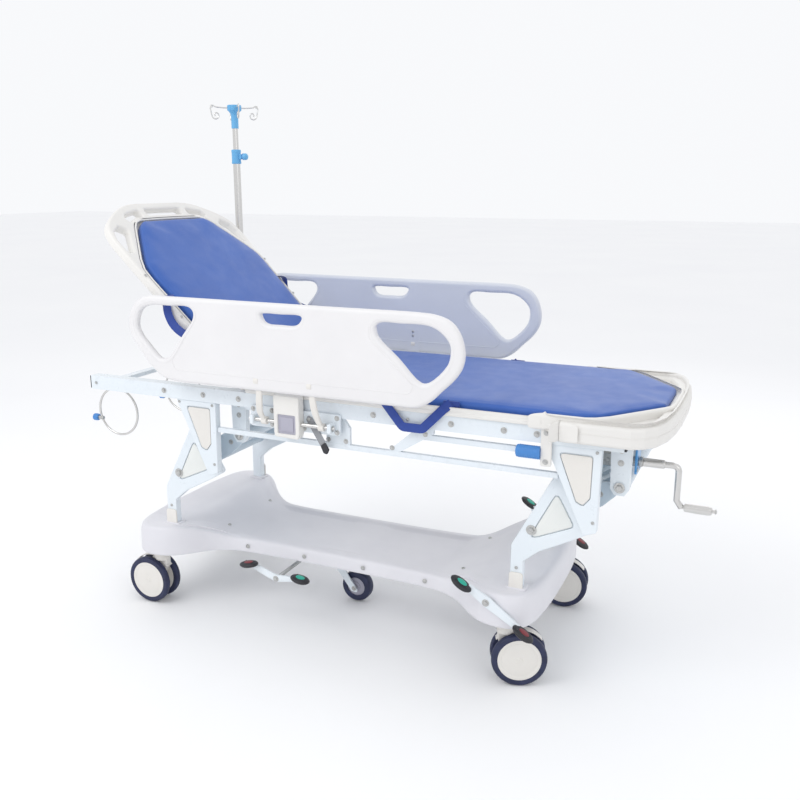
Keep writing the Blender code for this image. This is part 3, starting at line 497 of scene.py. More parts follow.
class Piece:
    """Collects solids into one object; every face keeps its material."""

    def __init__(self, name):
        self.name = name
        self.bm = bmesh.new()
        self.keys = []

    def add(self, bm, key, matrix=None):
        if key not in self.keys:
            self.keys.append(key)
        if matrix is not None:
            bm.transform(matrix)
        for face in bm.faces:
            face.material_index = self.keys.index(key)
            face.smooth = True
        mesh = bpy.data.meshes.new("solid")
        bm.to_mesh(mesh)
        bm.free()
        self.bm.from_mesh(mesh)
        bpy.data.meshes.remove(mesh)
        return self

    def bolt(self, place, direction, size=0.006, key="zinc", washer=True):
        """Hexagon head with a domed top on a washer."""
        place, direction = Vector(place), Vector(direction)
        if washer:
            disc = turned([(0, 0), (size * 1.55, 0), (size * 1.6, 0.0003), (size * 1.6, 0.001),
                (size * 1.5, 0.0014), (0, 0.0014)], "z", (0, 0, 0), 24)
            self.add(aimed(disc, place, direction), key)
        head = turned([(0, 0.0012), (size, 0.0012), (size, size * 0.6), (size * 0.86, size * 0.78),
            (size * 0.5, size * 0.84), (0, size * 0.86)], "z", (0, 0, 0), 6)
        self.add(aimed(head, place, direction), key)
        return self

    def button(self, place, direction, size=0.006, key="zinc"):
        """Round socket-head screw."""
        head = turned([(0, 0), (size, 0), (size, size * 0.3), (size * 0.8, size * 0.55),
            (size * 0.42, size * 0.62), (size * 0.38, size * 0.25), (0, size * 0.25)], "z", (0, 0, 0), 20)
        self.add(aimed(head, Vector(place), direction), key)
        return self

    def done(self, body, slot, *replaces, weighted=True, angle=38.0):
        for edge in self.bm.edges:
            if len(edge.link_faces) == 2 and edge.calc_face_angle(0.0) > math.radians(angle):
                edge.smooth = False
        self.bm.transform(Matrix.Translation(SHIFT))
        mesh = bpy.data.meshes.new(self.name)
        self.bm.to_mesh(mesh)
        self.bm.free()
        for key in self.keys:
            mesh.materials.append(M[key].mat)
        obj = placed(self.name, mesh)
        if weighted:
            mod = obj.modifiers.new("normals", "WEIGHTED_NORMAL")
            mod.keep_sharp = True
        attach(obj, body)
        if replaces:
            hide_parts(*replaces)
        return obj


SIDES = (("near", -1.0), ("far", 1.0))
LEG_PITCH = 1.112                  # from the foot legs to the head legs
ENDS = (("head", -LEG_PITCH), ("foot", 0.0))
HINGE = Vector((-0.22, 0.0, 0.742))
TILT = math.radians(44.5)
TILT_BACK = Matrix.Translation(HINGE) @ Matrix.Rotation(TILT, 4, "Y") @ Matrix.Translation(-HINGE)


def mirrored(points):
    """Half outline (x, +y) completed by its mirror image."""
    return list(points) + [(x, -y) for x, y in reversed(points)]


# ---- side rails
RAIL = [(-0.545, 0.905), (-0.54, 0.94), (-0.524, 0.968), (-0.5, 0.988), (-0.47, 0.997), (-0.4, 0.998),
    (-0.2, 0.998), (0.15, 0.998), (0.35, 0.998), (0.4, 0.994), (0.438, 0.98), (0.462, 0.952), (0.475, 0.905),
    (0.47, 0.87), (0.452, 0.84), (0.42, 0.808), (0.385, 0.775), (0.35, 0.758), (0.29, 0.756), (0.0, 0.756),
    (-0.3, 0.757), (-0.38, 0.757), (-0.44, 0.768), (-0.478, 0.8), (-0.512, 0.842), (-0.538, 0.878)]
RAIL_LEFT = [(-0.514, 0.908), (-0.508, 0.938), (-0.494, 0.958), (-0.465, 0.97), (-0.4, 0.972),
    (-0.335, 0.972), (-0.32, 0.96), (-0.322, 0.94), (-0.36, 0.892), (-0.412, 0.826), (-0.44, 0.822),
    (-0.482, 0.86), (-0.505, 0.886)]
RAIL_RIGHT = [(0.238, 0.955), (0.25, 0.966), (0.31, 0.967), (0.38, 0.966), (0.412, 0.952), (0.436, 0.925),
    (0.438, 0.898), (0.43, 0.872), (0.384, 0.826), (0.36, 0.822), (0.3, 0.878), (0.242, 0.932)]
RAIL_SLOT = [(-0.099, 0.966), (-0.09, 0.969), (-0.04, 0.969), (0.018, 0.969), (0.025, 0.964), (0.017, 0.95),
    (0.002, 0.942), (-0.04, 0.941), (-0.08, 0.942), (-0.093, 0.95)]
RAIL_PANEL = [(-0.306, 0.962), (-0.306, 0.944), (-0.398, 0.818), (-0.386, 0.793), (0.33, 0.793),
    (0.346, 0.812), (0.222, 0.926), (0.222, 0.956)]

LINK_TOP = (0.345, 0.785)           # y and z of the pivot on the rail, and of the one on the bed
LINK_LOW = (0.315, 0.665)

for side, s in SIDES:
    rail = Piece("rail_shell_" + side)
    holes = [curve_through([(x, z, 0) for x, z in h], 4, True) for h in (RAIL_LEFT, RAIL_RIGHT, RAIL_SLOT)]
    loop = curve_through([(x, z, 0) for x, z in RAIL], 4, True)
    # the far rail takes the darker, bluer copy of the rail plastic: painted shade
    key = "rail" if side == "near" else "rail_far"
    rail.add(slab(loop, holes, s * 0.3332, s * 0.3568, 0.0105, "xz", 5), key)
    line = filleted([(x, z, 0) for x, z in RAIL_PANEL], 0.018, 5, closed=False)
    for y in (s * 0.3566, s * 0.3334):
        rail.add(wire([(p.x, y, p.y) for p in line], 0.0013, 8), key)
    for loop_points in (RAIL_LEFT, RAIL_RIGHT, RAIL_SLOT):
        lip = offset_loop([(p[0], p[1]) for p in curve_through([(x, z, 0) for x, z in loop_points], 4, True)],
            0.011)
        rail.add(wire([(p.x, s * 0.3566, p.y) for p in lip], 0.0009, 6, closed=True), key)
    for x in (-0.12, 0.045):
        rail.add(block(x - 0.022, x + 0.022, s * 0.3325, s * 0.335, 0.76, 0.835, 0.001), key)
        rail.add(pin((x - 0.015, s * LINK_TOP[0], LINK_TOP[1]), (x + 0.015, s * LINK_TOP[0], LINK_TOP[1]),
            0.0048), "zinc")
        for z in (0.812, 0.826):
            rail.button((x, s * 0.3325, z), (0, -s, 0), 0.0042)
    rail.done("rail_" + side, "pp_white", "rail_" + side)

    arms = Piece("rail_links_" + side)
    for x_top, x_low in ((-0.12, -0.1215), (0.045, 0.0585)):
        lean = 0.03 if x_low < 0 else 0.026
        path = curve_through([(x_top, 0.345, 0.785), (x_top + lean * 0.1, 0.3455, 0.757),
            (x_top + (x_low - x_top) * 0.45, 0.342, 0.722), (x_low - 0.004, 0.331, 0.69),
            (x_low, 0.318, 0.665)], 6)
        rows = []
        arm = bmesh.new()
        for i, p in enumerate(path):
            before, after = path[max(i - 1, 0)], path[min(i + 1, len(path) - 1)]
            along = (after - before).normalized()
            out = along.cross(Vector((1, 0, 0))).normalized()
            t = i / (len(path) - 1)
            half = 0.0068 + 0.003 * math.sin(math.pi * t)
            thick = 0.0046
            ring = []
            for a in (2 * math.pi * k / 12 for k in range(12)):
                ca, sa = math.cos(a), math.sin(a)
                ring.append(p + Vector((1, 0, 0)) * half * math.copysign(abs(ca) ** 0.6, ca)
                    + out * thick * math.copysign(abs(sa) ** 0.6, sa))
            rows.append([arm.verts.new((v.x, s * v.y, v.z)) for v in ring])
        for one, two in zip(rows, rows[1:]):
            bridge(arm, one, two)
        arm.faces.new(rows[0])
        arm.faces.new(rows[-1])
        outward(arm)
        arms.add(arm, "cream")
        arms.add(pin((x_top - 0.007, s * LINK_TOP[0], LINK_TOP[1]), (x_top + 0.007, s * LINK_TOP[0],
            LINK_TOP[1]), 0.014), "cream")
        arms.add(pin((x_low - 0.008, s * LINK_LOW[0], LINK_LOW[1]), (x_low + 0.008, s * LINK_LOW[0],
            LINK_LOW[1]), 0.0112), "cream")
    arms.add(pin((-0.172, s * LINK_LOW[0], LINK_LOW[1]), (0.097, s * LINK_LOW[0], LINK_LOW[1]), 0.0058),
        "steel")
    arms.done("rail_arm_" + side, "pp_white", "rail_arm_" + side)

    house = Piece("rail_housing_shell_" + side)
    house.add(slab(filleted(rect(-0.18, 0.105, 0.64, 0.7), 0.008), [], s * 0.2905, s * 0.299, 0.0015, "xz",
        2), "frame")
    house.add(slab(filleted([(-0.084, 0.626, 0), (-0.01, 0.624, 0), (-0.006, 0.64, 0), (-0.006, 0.743, 0),
        (-0.086, 0.745, 0), (-0.086, 0.64, 0)], 0.006), [filleted(rect(-0.074, -0.018, 0.636, 0.69), 0.004)],
        s * 0.2985, s * 0.3278, 0.003, "xz", 4), "board")
    house.add(block(-0.0745, -0.0175, s * 0.299, s * 0.3225, 0.6355, 0.6905, 0.001), "window")
    house.add(block(-0.066, -0.026, s * 0.3222, s * 0.3246, 0.643, 0.683, 0.001), "window")
    for x in (-0.16, 0.085):
        house.add(block(x - 0.0058, x + 0.0058, s * 0.2955, s * 0.3268, 0.6525, 0.6778, 0.002, 3), "frame")
        house.bolt((x + math.copysign(0.0058, x), s * LINK_LOW[0], LINK_LOW[1]), (math.copysign(1, x), 0, 0),
            0.0052)
    for x, z in ((-0.17, 0.69), (-0.108, 0.69), (-0.108, 0.651), (0.096, 0.69), (0.096, 0.65),
            (-0.006, 0.651)):
        house.bolt((x, s * 0.299, z), (0, s, 0), 0.0046)
    house.done("bed", "grey_plastic", "rail_housing_" + side)

    lever = Piece("rail_lever_blade_" + side)
    blade = [(0.006, 0.69, 0), (0.02, 0.685, 0), (0.06, 0.622, 0), (0.058, 0.606, 0), (0.046, 0.606, 0),
        (0.003, 0.676, 0)]
    lever.add(slab(filleted(blade, 0.006), [], s * 0.3004, s * 0.303, 0.0008, "xz", 2), "lever")
    tip = [(0.047, 0.609, 0), (0.061, 0.62, 0), (0.073, 0.6, 0), (0.067, 0.586, 0), (0.056, 0.589, 0)]
    lever.add(slab(filleted(tip, 0.005), [], s * 0.3, s * 0.3065, 0.0018, "xz", 3), "black")
    lever.button((0.012, s * 0.303, 0.68), (0, s, 0), 0.0048)
    lever.done("rail_lever_" + side, "black_plastic", "rail_lever_" + side)

# ---- moulded boards
def band(outer, inner):
    """Two half outlines completed into one closed ring around the foot end."""
    loop = mirrored(outer) + [(x, -y) for x, y in inner] + inner[::-1]
    return [(x, y, 0) for x, y in loop]


deck = Piece("foot_deck")
DECK = mirrored([(-0.205, 0.297), (0.3, 0.2975), (0.655, 0.298), (0.668, 0.306), (0.7, 0.32), (0.78, 0.322),
    (0.87, 0.321), (0.9, 0.306), (0.926, 0.276), (0.944, 0.22), (0.953, 0.15), (0.957, 0.07)])
flat = [(x, y, 0) for x, y in DECK]
deck.add(slab(filleted(flat, 0.02, 4), [], 0.7305, 0.744, 0.004, "xy", 3), "board")
rim = [(-0.2048, 0.2975), (0.662, 0.2975), (0.662, 0.2915), (-0.2048, 0.2915)]
for s in (-1, 1):
    side_rim = filleted([(x, s * y, 0) for x, y in rim], 0.001, 2)
    deck.add(slab(side_rim, [], 0.74, 0.7545, 0.0022, "xy", 3), "board")
collar = [(0.658, 0.306), (0.668, 0.318), (0.69, 0.3225), (0.78, 0.3232), (0.872, 0.3222), (0.903, 0.307),
    (0.928, 0.277), (0.946, 0.221), (0.955, 0.15), (0.9585, 0.07)]
inner = [(0.65, 0.2915), (0.7, 0.2916), (0.76, 0.2912), (0.78, 0.283), (0.806, 0.26), (0.912, 0.118),
    (0.924, 0.098), (0.928, 0.06)]
deck.add(slab(filleted(band(collar, inner), 0.01, 4), [], 0.7255, 0.7668, 0.0085, "xy", 5), "board")
apron = [(0.694, 0.3225)] + collar[3:]
apron_in = [(0.694, 0.2925), (0.858, 0.2925), (0.885, 0.274), (0.907, 0.215), (0.915, 0.15), (0.918, 0.07)]
deck.add(slab(filleted(band(apron, apron_in), 0.012, 4), [], 0.704, 0.756, 0.01, "xy", 5), "board")
seam = filleted([(x, y, 0.7325) for x, y in mirrored(apron)], 0.02, 4, False)
deck.add(wire([(p.x + 0.0002, p.y * 1.0008, p.z) for p in seam], 0.0011, 6), "board")
for s in (-1, 1):
    for x in (-0.15, 0.08, 0.32, 0.56):
        deck.button((x, s * 0.2852, 0.744), (0, 0, 1), 0.004)
deck.done("bed", "pp_white", "foot_board")

board = Piece("head_board")


def back(points, deep=0.0):
    return [(HINGE.x - u, y, deep) for u, y in points]


BOARD = [(0.02, 0.284), (0.1, 0.298), (0.25, 0.307), (0.4, 0.312), (0.52, 0.3155), (0.565, 0.314),
    (0.608, 0.3), (0.643, 0.262), (0.672, 0.212), (0.69, 0.168), (0.699, 0.12), (0.7, 0.05)]
CRADLE = [(0.021, 0.2745), (0.2, 0.284), (0.4, 0.295), (0.44, 0.293), (0.478, 0.274), (0.6, 0.187),
    (0.618, 0.168), (0.6265, 0.145), (0.628, 0.06)]
outline = curve_through(back(BOARD)[1:], 3)
outline = back(BOARD)[:1] + [tuple(p) for p in outline]
full = [(p[0], p[1], 0) for p in outline] + [(p[0], -p[1], 0) for p in reversed(outline)]
cradle = [(x, y, 0) for x, y, _ in back(CRADLE)]
cradle = filleted(cradle + [(x, -y, 0) for x, y, _ in reversed(cradle)], 0.018, 4)
slots = [filleted([(HINGE.x - u, y, 0) for u, y in ((0.674, -0.086), (0.648, -0.086), (0.648, 0.086),
    (0.674, 0.086))], 0.009, 4)]
for s in (-1, 1):
    corner = [(0.671, 0.116), (0.647, 0.112), (0.625, 0.186), (0.636, 0.198), (0.655, 0.186)]
    slots.append(filleted([(HINGE.x - u, s * y, 0) for u, y in corner], 0.009, 4))
    grip = [(0.612, 0.252), (0.594, 0.226), (0.512, 0.277), (0.508, 0.297), (0.56, 0.2985), (0.59, 0.286)]
    slots.append(filleted([(HINGE.x - u, s * y, 0) for u, y in grip], 0.01, 4))
board.add(slab(full, [cradle] + slots, 0.7303, 0.7585, 0.008, "xy", 5), "board", TILT_BACK)
bottom = offset_loop([(p[0], p[1]) for p in cradle], 0.006)
board.add(slab([(p.x, p.y, 0) for p in bottom], [], 0.7303, 0.744, 0.002, "xy", 2), "board", TILT_BACK)
cushion_rim = offset_loop([(p[0], p[1]) for p in cradle], 0.0015)
board.add(wire([(p.x, p.y, 0.7575) for p in cushion_rim], 0.003, 8, closed=True), "board", TILT_BACK)
for y in (-0.03, 0.03):
    board.add(block(HINGE.x - 0.375, HINGE.x - 0.345, y - 0.005, y + 0.005, 0.692, 0.734, 0.0015), "zinc",
        TILT_BACK)
for s in (-1, 1):
    for u in (0.1, 0.26, 0.42):
        wide = 0.2915 + 0.016 * min(u / 0.4, 1.0)
        screw = turned([(0, 0), (0.0045, 0), (0.0045, 0.0012), (0.003, 0.0022), (0.0012, 0.0022),
            (0.001, 0.001), (0, 0.001)], "z", (HINGE.x - u, s * (wide + 0.003), 0.7582), 16)
        board.add(screw, "zinc", TILT_BACK)
for u in (0.12, 0.24, 0.43):
    rib = block(HINGE.x - u - 0.003, HINGE.x - u + 0.003, -0.215, 0.215, 0.7215, 0.7308, 0.0012)
    board.add(rib, "board", TILT_BACK)
board.done("backrest", "pp_white", "backrest_board")

# ---- one-piece mattress with carrying straps
PAD_LOW, PAD_TOP = 0.7452, 0.7745
PAD_HALF = [(-0.838, 0.15), (-0.82, 0.178), (-0.76, 0.222), (-0.698, 0.2655), (-0.668, 0.283),
    (-0.62, 0.2885), (-0.45, 0.28), (-0.3, 0.2735), (-0.22, 0.273), (-0.15, 0.28), (-0.05, 0.287),
    (0.3, 0.288), (0.76, 0.288), (0.778, 0.28), (0.8, 0.26), (0.91, 0.117), (0.921, 0.1)]


def pad_half_width(x):
    for (x0, w0), (x1, w1) in zip(PAD_HALF, PAD_HALF[1:]):
        if x <= x1:
            t = min(max((x - x0) / (x1 - x0), 0.0), 1.0)
            return w0 + (w1 - w0) * t
    return PAD_HALF[-1][1]


BEND = 0.045                        # half length of the bend where the mattress crosses the hinge


def bent(p):
    """Flat mattress point to its place with the backrest raised."""
    along = HINGE.x - p.x
    if along <= -BEND:
        return p
    if along >= BEND:
        return TILT_BACK @ p
    radius = BEND / math.tan(TILT / 2)
    angle = TILT * (along + BEND) / (2 * BEND)
    rise = p.z - HINGE.z
    centre = Vector((HINGE.x + BEND, 0, HINGE.z + radius))
    return Vector((centre.x - (radius - rise) * math.sin(angle), p.y,
        centre.z - (radius - rise) * math.cos(angle)))


def pad_mesh():
    x_head, x_foot = PAD_HALF[0][0], PAD_HALF[-1][0]
    nx, ny = 138, 44
    bm = bmesh.new()
    grids = []
    for level in (0, 1):
        rows = []
        for i in range(nx + 1):
            x = x_head + (x_foot - x_head) * i / nx
            w = pad_half_width(x) - 0.004
            rows.append([bm.verts.new((x, w * (2 * j / ny - 1), PAD_TOP - 0.004 if level else PAD_LOW
                + 0.001)) for j in range(ny + 1)])
        grids.append(rows)
    for level, rows in enumerate(grids):
        for i in range(nx):
            for j in range(ny):
                quad = (rows[i][j], rows[i + 1][j], rows[i + 1][j + 1], rows[i][j + 1])
                bm.faces.new(quad if level else tuple(reversed(quad)))

    def border(rows):
        loop = [rows[i][0] for i in range(nx + 1)]
        loop += [rows[nx][j] for j in range(1, ny + 1)]
        loop += [rows[i][ny] for i in range(nx - 1, -1, -1)]
        loop += [rows[0][j] for j in range(ny - 1, 0, -1)]
        return loop

    low, high = border(grids[0]), border(grids[1])
    flat = offset_loop([(v.co.x, v.co.y) for v in low], 0.0036)
    walls = [low]
    for t in (0.28, 0.5, 0.72):
        bulge = math.sin(math.pi * t)
        walls.append([bm.verts.new((a.co.x + (f.x - a.co.x) * bulge, a.co.y + (f.y - a.co.y) * bulge, a.co.z
            + (b.co.z - a.co.z) * t)) for a, b, f in zip(low, high, flat) ])
    walls.append(high)
    for one, two in zip(walls, walls[1:]):
        for face in bridge(bm, one, two):
            face.material_index = 1
    outward(bm)
    mesh = bpy.data.meshes.new("mattress")
    bm.to_mesh(mesh)
    bm.free()
    return mesh


def inflate(obj, pinned, frames=20, pressure=4.0, cap=0.005):
    """Cloth simulation under inner pressure, applied to the mesh with a limit on how far a point may move."""
    start = [v.co.copy() for v in obj.data.vertices]
    group = obj.vertex_groups.new(name="held")
    group.add(pinned, 1.0, "REPLACE")
    mod = obj.modifiers.new("cloth", "CLOTH")
    mod.settings.quality = 6
    mod.settings.mass = 0.35
    mod.settings.tension_stiffness = 12.0
    mod.settings.compression_stiffness = 12.0
    mod.settings.shear_stiffness = 6.0
    mod.settings.bending_stiffness = 0.6
    mod.settings.use_pressure = True
    mod.settings.uniform_pressure_force = pressure
    mod.settings.vertex_group_mass = "held"
    mod.settings.effector_weights.gravity = 0.0
    mod.collision_settings.use_collision = False
    scene = bpy.context.scene
    for number in range(1, frames + 1):
        scene.frame_set(number)
    result = evaluated_mesh(obj)
    moved_to = [v.co.copy() for v in result.vertices]
    bpy.data.meshes.remove(result)
    obj.modifiers.remove(mod)
    obj.vertex_groups.remove(group)
    scene.frame_set(1)
    for v, a, b in zip(obj.data.vertices, start, moved_to):
        step = b - a
        if step.length > cap:
            step *= cap / step.length
        v.co = a + step


pad_data = pad_mesh()
pad = placed("mattress", pad_data)
inflate(pad, [v.index for v in pad_data.vertices if v.co.z < PAD_LOW + 0.002], cap=0.0045)
sub = pad.modifiers.new("fine", "SUBSURF")
sub.levels = sub.render_levels = 1
bpy.context.view_layer.update()
fine = evaluated_mesh(pad)
pad.modifiers.clear()
for v in fine.vertices:
    p = v.co
    w = pad_half_width(p.x)
    inner = max(0.0, 1.0 - (abs(p.y) / w) ** 6)
    if p.z > (PAD_LOW + PAD_TOP) / 2:
        near_hinge = math.exp(-((p.x - HINGE.x) / 0.06) ** 2)
        drift = 0.001 * math.sin(9.0 * p.x + 3.0 * p.y) * math.cos(7.0 * p.y - 4.0 * p.x)
        fold = 0.0014 * math.sin(150.0 * p.x + 6.0 * math.sin(9.0 * p.y)) * near_hinge
        p.z += inner * (drift + fold)
        p.z = min(p.z, 0.78)
    stitch = max(0.0, 1.0 - abs(w - abs(p.y) - 0.014) / 0.004)
    if p.z > PAD_TOP - 0.006 and stitch > 0:
        p.z -= 0.0014 * stitch
    v.co = bent(p)
pad.data = fine
for polygon in fine.polygons:
    polygon.use_smooth = True
fine.materials.clear()
fine.materials.append(M["pad"].mat)
# second slot, on the pad's side walls, is the darker copy of the pad cloth: painted shade
fine.materials.append(M["pad_wall_painted_shade"].mat)
fine.transform(Matrix.Translation(SHIFT))
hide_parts("pad_foot", "pad_back")
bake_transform(pad)

for side, s in SIDES:
    strap = Piece("strap_mid_" + side)
    path = filleted([(0.222, s * 0.2905, 0.764), (0.24, s * 0.3005, 0.748), (0.29, s * 0.303, 0.6905),
        (0.346, s * 0.303, 0.6905), (0.402, s * 0.3005, 0.748), (0.42, s * 0.2905, 0.764)], 0.013, 4, False)
    strap.add(ribbon(path, (0, s, 0), 0.024, 0.0026), "strap")
    for x0, x1 in ((0.2, 0.244), (0.398, 0.442)):
        strap.add(block(x0, x1, s * 0.287, s * 0.2905, 0.749, 0.769, 0.0012), "strap")
    strap.done("bed", "pad_fabric", weighted=False)

    strap = Piece("strap_head_" + side)
    path = [TILT_BACK @ Vector((HINGE.x - u, s * y, z)) for u, y, z in ((0.14, 0.279, 0.764),
        (0.15, 0.302, 0.768), (0.172, 0.316, 0.762), (0.215, 0.3215, 0.738), (0.262, 0.32, 0.73),
        (0.3, 0.318, 0.744), (0.322, 0.313, 0.764), (0.334, 0.29, 0.766))]
    strap.add(ribbon(curve_through(path, 5), TILT_BACK.to_3x3() @ Vector((0, s, 0.35)), 0.024, 0.0026),
        "strap")
    strap.done("backrest", "pad_fabric", weighted=False)

# ---- moulded base cover
COVER = [(0.655, 0.0), (0.6545, 0.06), (0.653, 0.12), (0.648, 0.185), (0.64, 0.24), (0.621, 0.28),
    (0.588, 0.3), (0.545, 0.3005), (0.505, 0.288), (0.47, 0.262), (0.435, 0.225), (0.395, 0.192),
    (0.345, 0.172), (0.28, 0.164), (0.215, 0.1618), (0.15, 0.16), (0.075, 0.1598), (0.0, 0.1597)]


def cover_loop():
    quarter = [(p.x, p.y) for p in curve_through([(x, y, 0) for x, y in COVER], 3)]
    loop = list(quarter)
    loop += [(-x, y) for x, y in reversed(quarter[:-1])]
    loop += [(-x, -y) for x, y in quarter[1:]]
    loop += [(x, -y) for x, y in reversed(quarter[1:-1])]
    return loop


def smooth_step(a, b, x):
    t = min(max((x - a) / (b - a), 0.0), 1.0)
    return t * t * (3 - 2 * t)


def cover_base(x):
    return 0.222 + 0.048 * smooth_step(0.34, 0.5, abs(x))


def cover_top(x, y, half):
    """Top surface: end humps, a tray sunk in the waist with a rounded border, a cross step in it."""
    z = cover_base(x)
    reach = half - abs(y)
    end = 0.35 - abs(x)
    tray = smooth_step(0.03, 0.044, reach) * smooth_step(0.0, 0.03, end)
    step = 1.0 - smooth_step(0.05, 0.072, abs(x))
    z -= tray * (0.0095 - 0.0045 * step)
    dish = smooth_step(0.045, 0.075, reach) * smooth_step(0.385, 0.43, abs(x)) * (1.0 - smooth_step(0.52,
        0.56, abs(x)))
    z -= 0.004 * dish
    post = math.hypot((abs(x) - 0.556) / 0.07, (abs(y) - 0.238) / 0.034)
    z += 0.003 * (1.0 - smooth_step(0.75, 1.15, post)) * smooth_step(0.004, 0.016, reach)
    return z


cover = Piece("cover_shell")
loop = cover_loop()
skin = bmesh.new()
layers = []
for grow, drop, fixed in ((-0.004, None, 0.1785), (0.0012, None, 0.1785), (0.002, None, 0.18),
        (0.0024, None, 0.186), (0.0016, 0.03, None), (0.0, 0.0185, None), (-0.0013, 0.012, None),
        (-0.0042, 0.0062, None), (-0.0085, 0.0024, None), (-0.014, 0.0006, None), (-0.02, 0.0, None)):
    ring = offset_loop(loop, grow)
    layers.append([skin.verts.new((q.x, q.y, fixed if drop is None else max(cover_base(p[0]) - drop, 0.1865)))
        for q, p in zip(ring, loop) ])
count = len(loop)
for one, two in zip(layers, layers[1:]):
    bridge(skin, one, two)
top = layers[-1]
half_count = count // 2
columns = 40
rows = []
for i in range(half_count + 1):
    a, b = top[i], top[(count - i) % count]
    if a is b:
        rows.append([a])
        continue
    line = [a]
    half = abs(a.co.y) + 0.02
    for k in range(1, columns):
        t = (1 - math.cos(math.pi * k / columns)) / 2
        x = a.co.x + (b.co.x - a.co.x) * t
        y = a.co.y + (b.co.y - a.co.y) * t
        line.append(skin.verts.new((x, y, cover_top(x, y, half))))
    line.append(b)
    rows.append(line)
for one, two in zip(rows, rows[1:]):
    for k in range(columns):
        if len(one) == 1:
            skin.faces.new((one[0], two[k + 1], two[k]))
        elif len(two) == 1:
            skin.faces.new((one[k], one[k + 1], two[0]))
        else:
            skin.faces.new((one[k], one[k + 1], two[k + 1], two[k]))
outward(skin)
cover.add(skin, "abs")
for sx in (-1, 1):
    for s in (-1, 1):
        x_leg = 0.592 if sx > 0 else -0.52
        plinth = slab(filleted(rect(x_leg - 0.028, x_leg + 0.028, s * 0.258, s * 0.216), 0.01), [], 0.262,
            0.276, 0.0035, "xy", 3)
        cover.add(plinth, "abs")
    for y in (-0.12, 0.12):
        cover.button((sx * 0.4, y, cover_top(sx * 0.4, y, 0.19) - 0.0005), (0, 0, 1), 0.006)
for x in (-0.3, -0.1, 0.1, 0.3):
    for s in (-1, 1):
        half = 0.1625 + 0.0055 * (abs(x) > 0.2)
        cover.bolt((x, s * half, 0.198), (0, s, 0), 0.0042)
cover.done("base", "abs_grey", "base_cover", weighted=False, angle=50.0)

# ---- legs
LOWER = [(0.575, 0.2585), (0.609, 0.2585), (0.609, 0.35), (0.65, 0.385), (0.735, 0.43), (0.79, 0.462),
    (0.703, 0.598), (0.684, 0.598), (0.576, 0.392)]
LOWER_WINDOW = [(0.618, 0.411), (0.74, 0.466), (0.691, 0.554)]
UPPER = [(0.664, 0.6877), (0.803, 0.6877), (0.8, 0.474), (0.768, 0.462)]
UPPER_WINDOW = [(0.698, 0.67), (0.783, 0.67), (0.781, 0.56), (0.764, 0.538), (0.746, 0.546)]


def shrunk(points, share):
    mx = sum(p[0] for p in points) / len(points)
    mz = sum(p[1] for p in points) / len(points)
    return [(mx + (x - mx) * share, mz + (z - mz) * share) for x, z in points]


LEG_PIN = (0.628, 0.441)           # pivot of the lift arm on the lower leg, and on the upper leg
ARM_PIN = (0.838, 0.577)

for end, dx in ENDS:
    leg = Piece("lower_leg_shell_" + end)
    for side, s in SIDES:
        outer = filleted([(x + dx, z, 0) for x, z in LOWER], 0.012, 4)
        window = filleted([(x + dx, z, 0) for x, z in LOWER_WINDOW], 0.012, 4)
        leg.add(slab(outer, [window], s * 0.2262, s * 0.2498, 0.0026, "xz", 3), "frame")
        leg.add(slab([(p.x, p.y, 0) for p in offset_loop([(p.x, p.y) for p in window], 0.002)], [],
            s * 0.2275, s * 0.244, 0.001, "xz", 2), "frame")
        for z in (0.29, 0.33):
            leg.button((0.592 + dx, s * 0.2498, z), (0, s, 0), 0.0045)
        boot = slab(filleted(rect(0.5735 + dx, 0.6115 + dx, 0.259, 0.318), 0.01, 4), [], s * 0.249, s * 0.256,
            0.003, "xz", 3)
        leg.add(boot, "cream")
        leg.bolt((LEG_PIN[0] + dx, s * 0.2498, LEG_PIN[1]), (0, s, 0), 0.0085, washer=True)
    leg.add(pin((LEG_PIN[0] + dx, -0.23, LEG_PIN[1]), (LEG_PIN[0] + dx, 0.23, LEG_PIN[1]), 0.0118), "steel")
    leg.done("base", "frame_paint", "lower_leg_" + end)
    for side, s in SIDES:
        insert = Piece("lower_insert_" + end + "_" + side)
        edge = filleted([(x + dx, z, 0) for x, z in shrunk(LOWER_WINDOW, 0.93)], 0.01, 4)
        insert.add(slab(edge, [], s * 0.244, s * 0.2488, 0.0018, "xz", 3), "insert")
        insert.done("base", "pp_white", "panel_lower_" + end + "_" + side)

        plate = Piece("upper_leg_shell_" + end + "_" + side)
        outer = filleted([(x + dx, z, 0) for x, z in UPPER], 0.006, 4)
        window = filleted([(x + dx, z, 0) for x, z in UPPER_WINDOW], 0.009, 4)
        plate.add(slab(outer, [window], s * 0.2627, s * 0.2863, 0.0024, "xz", 3), "frame")
        back_plate = [(p.x, p.y, 0) for p in offset_loop([(p.x, p.y) for p in window], 0.002)]
        plate.add(slab(back_plate, [], s * 0.2635, s * 0.28, 0.001, "xz", 2), "frame")
        for x, z in ((0.676, 0.68), (0.792, 0.679), (0.79, 0.5)):
            plate.button((x + dx, s * 0.2863, z), (0, s, 0), 0.0042)
        plate.done("bed", "frame_paint", "upper_leg_" + end + "_" + side)
        insert = Piece("upper_insert_" + end + "_" + side)
        edge = filleted([(x + dx, z, 0) for x, z in shrunk(UPPER_WINDOW, 0.95)], 0.008, 4)
        insert.add(slab(edge, [], s * 0.28, s * 0.2856, 0.0018, "xz", 3), "cream")
        insert.done("bed", "pp_white", "panel_upper_" + end + "_" + side)

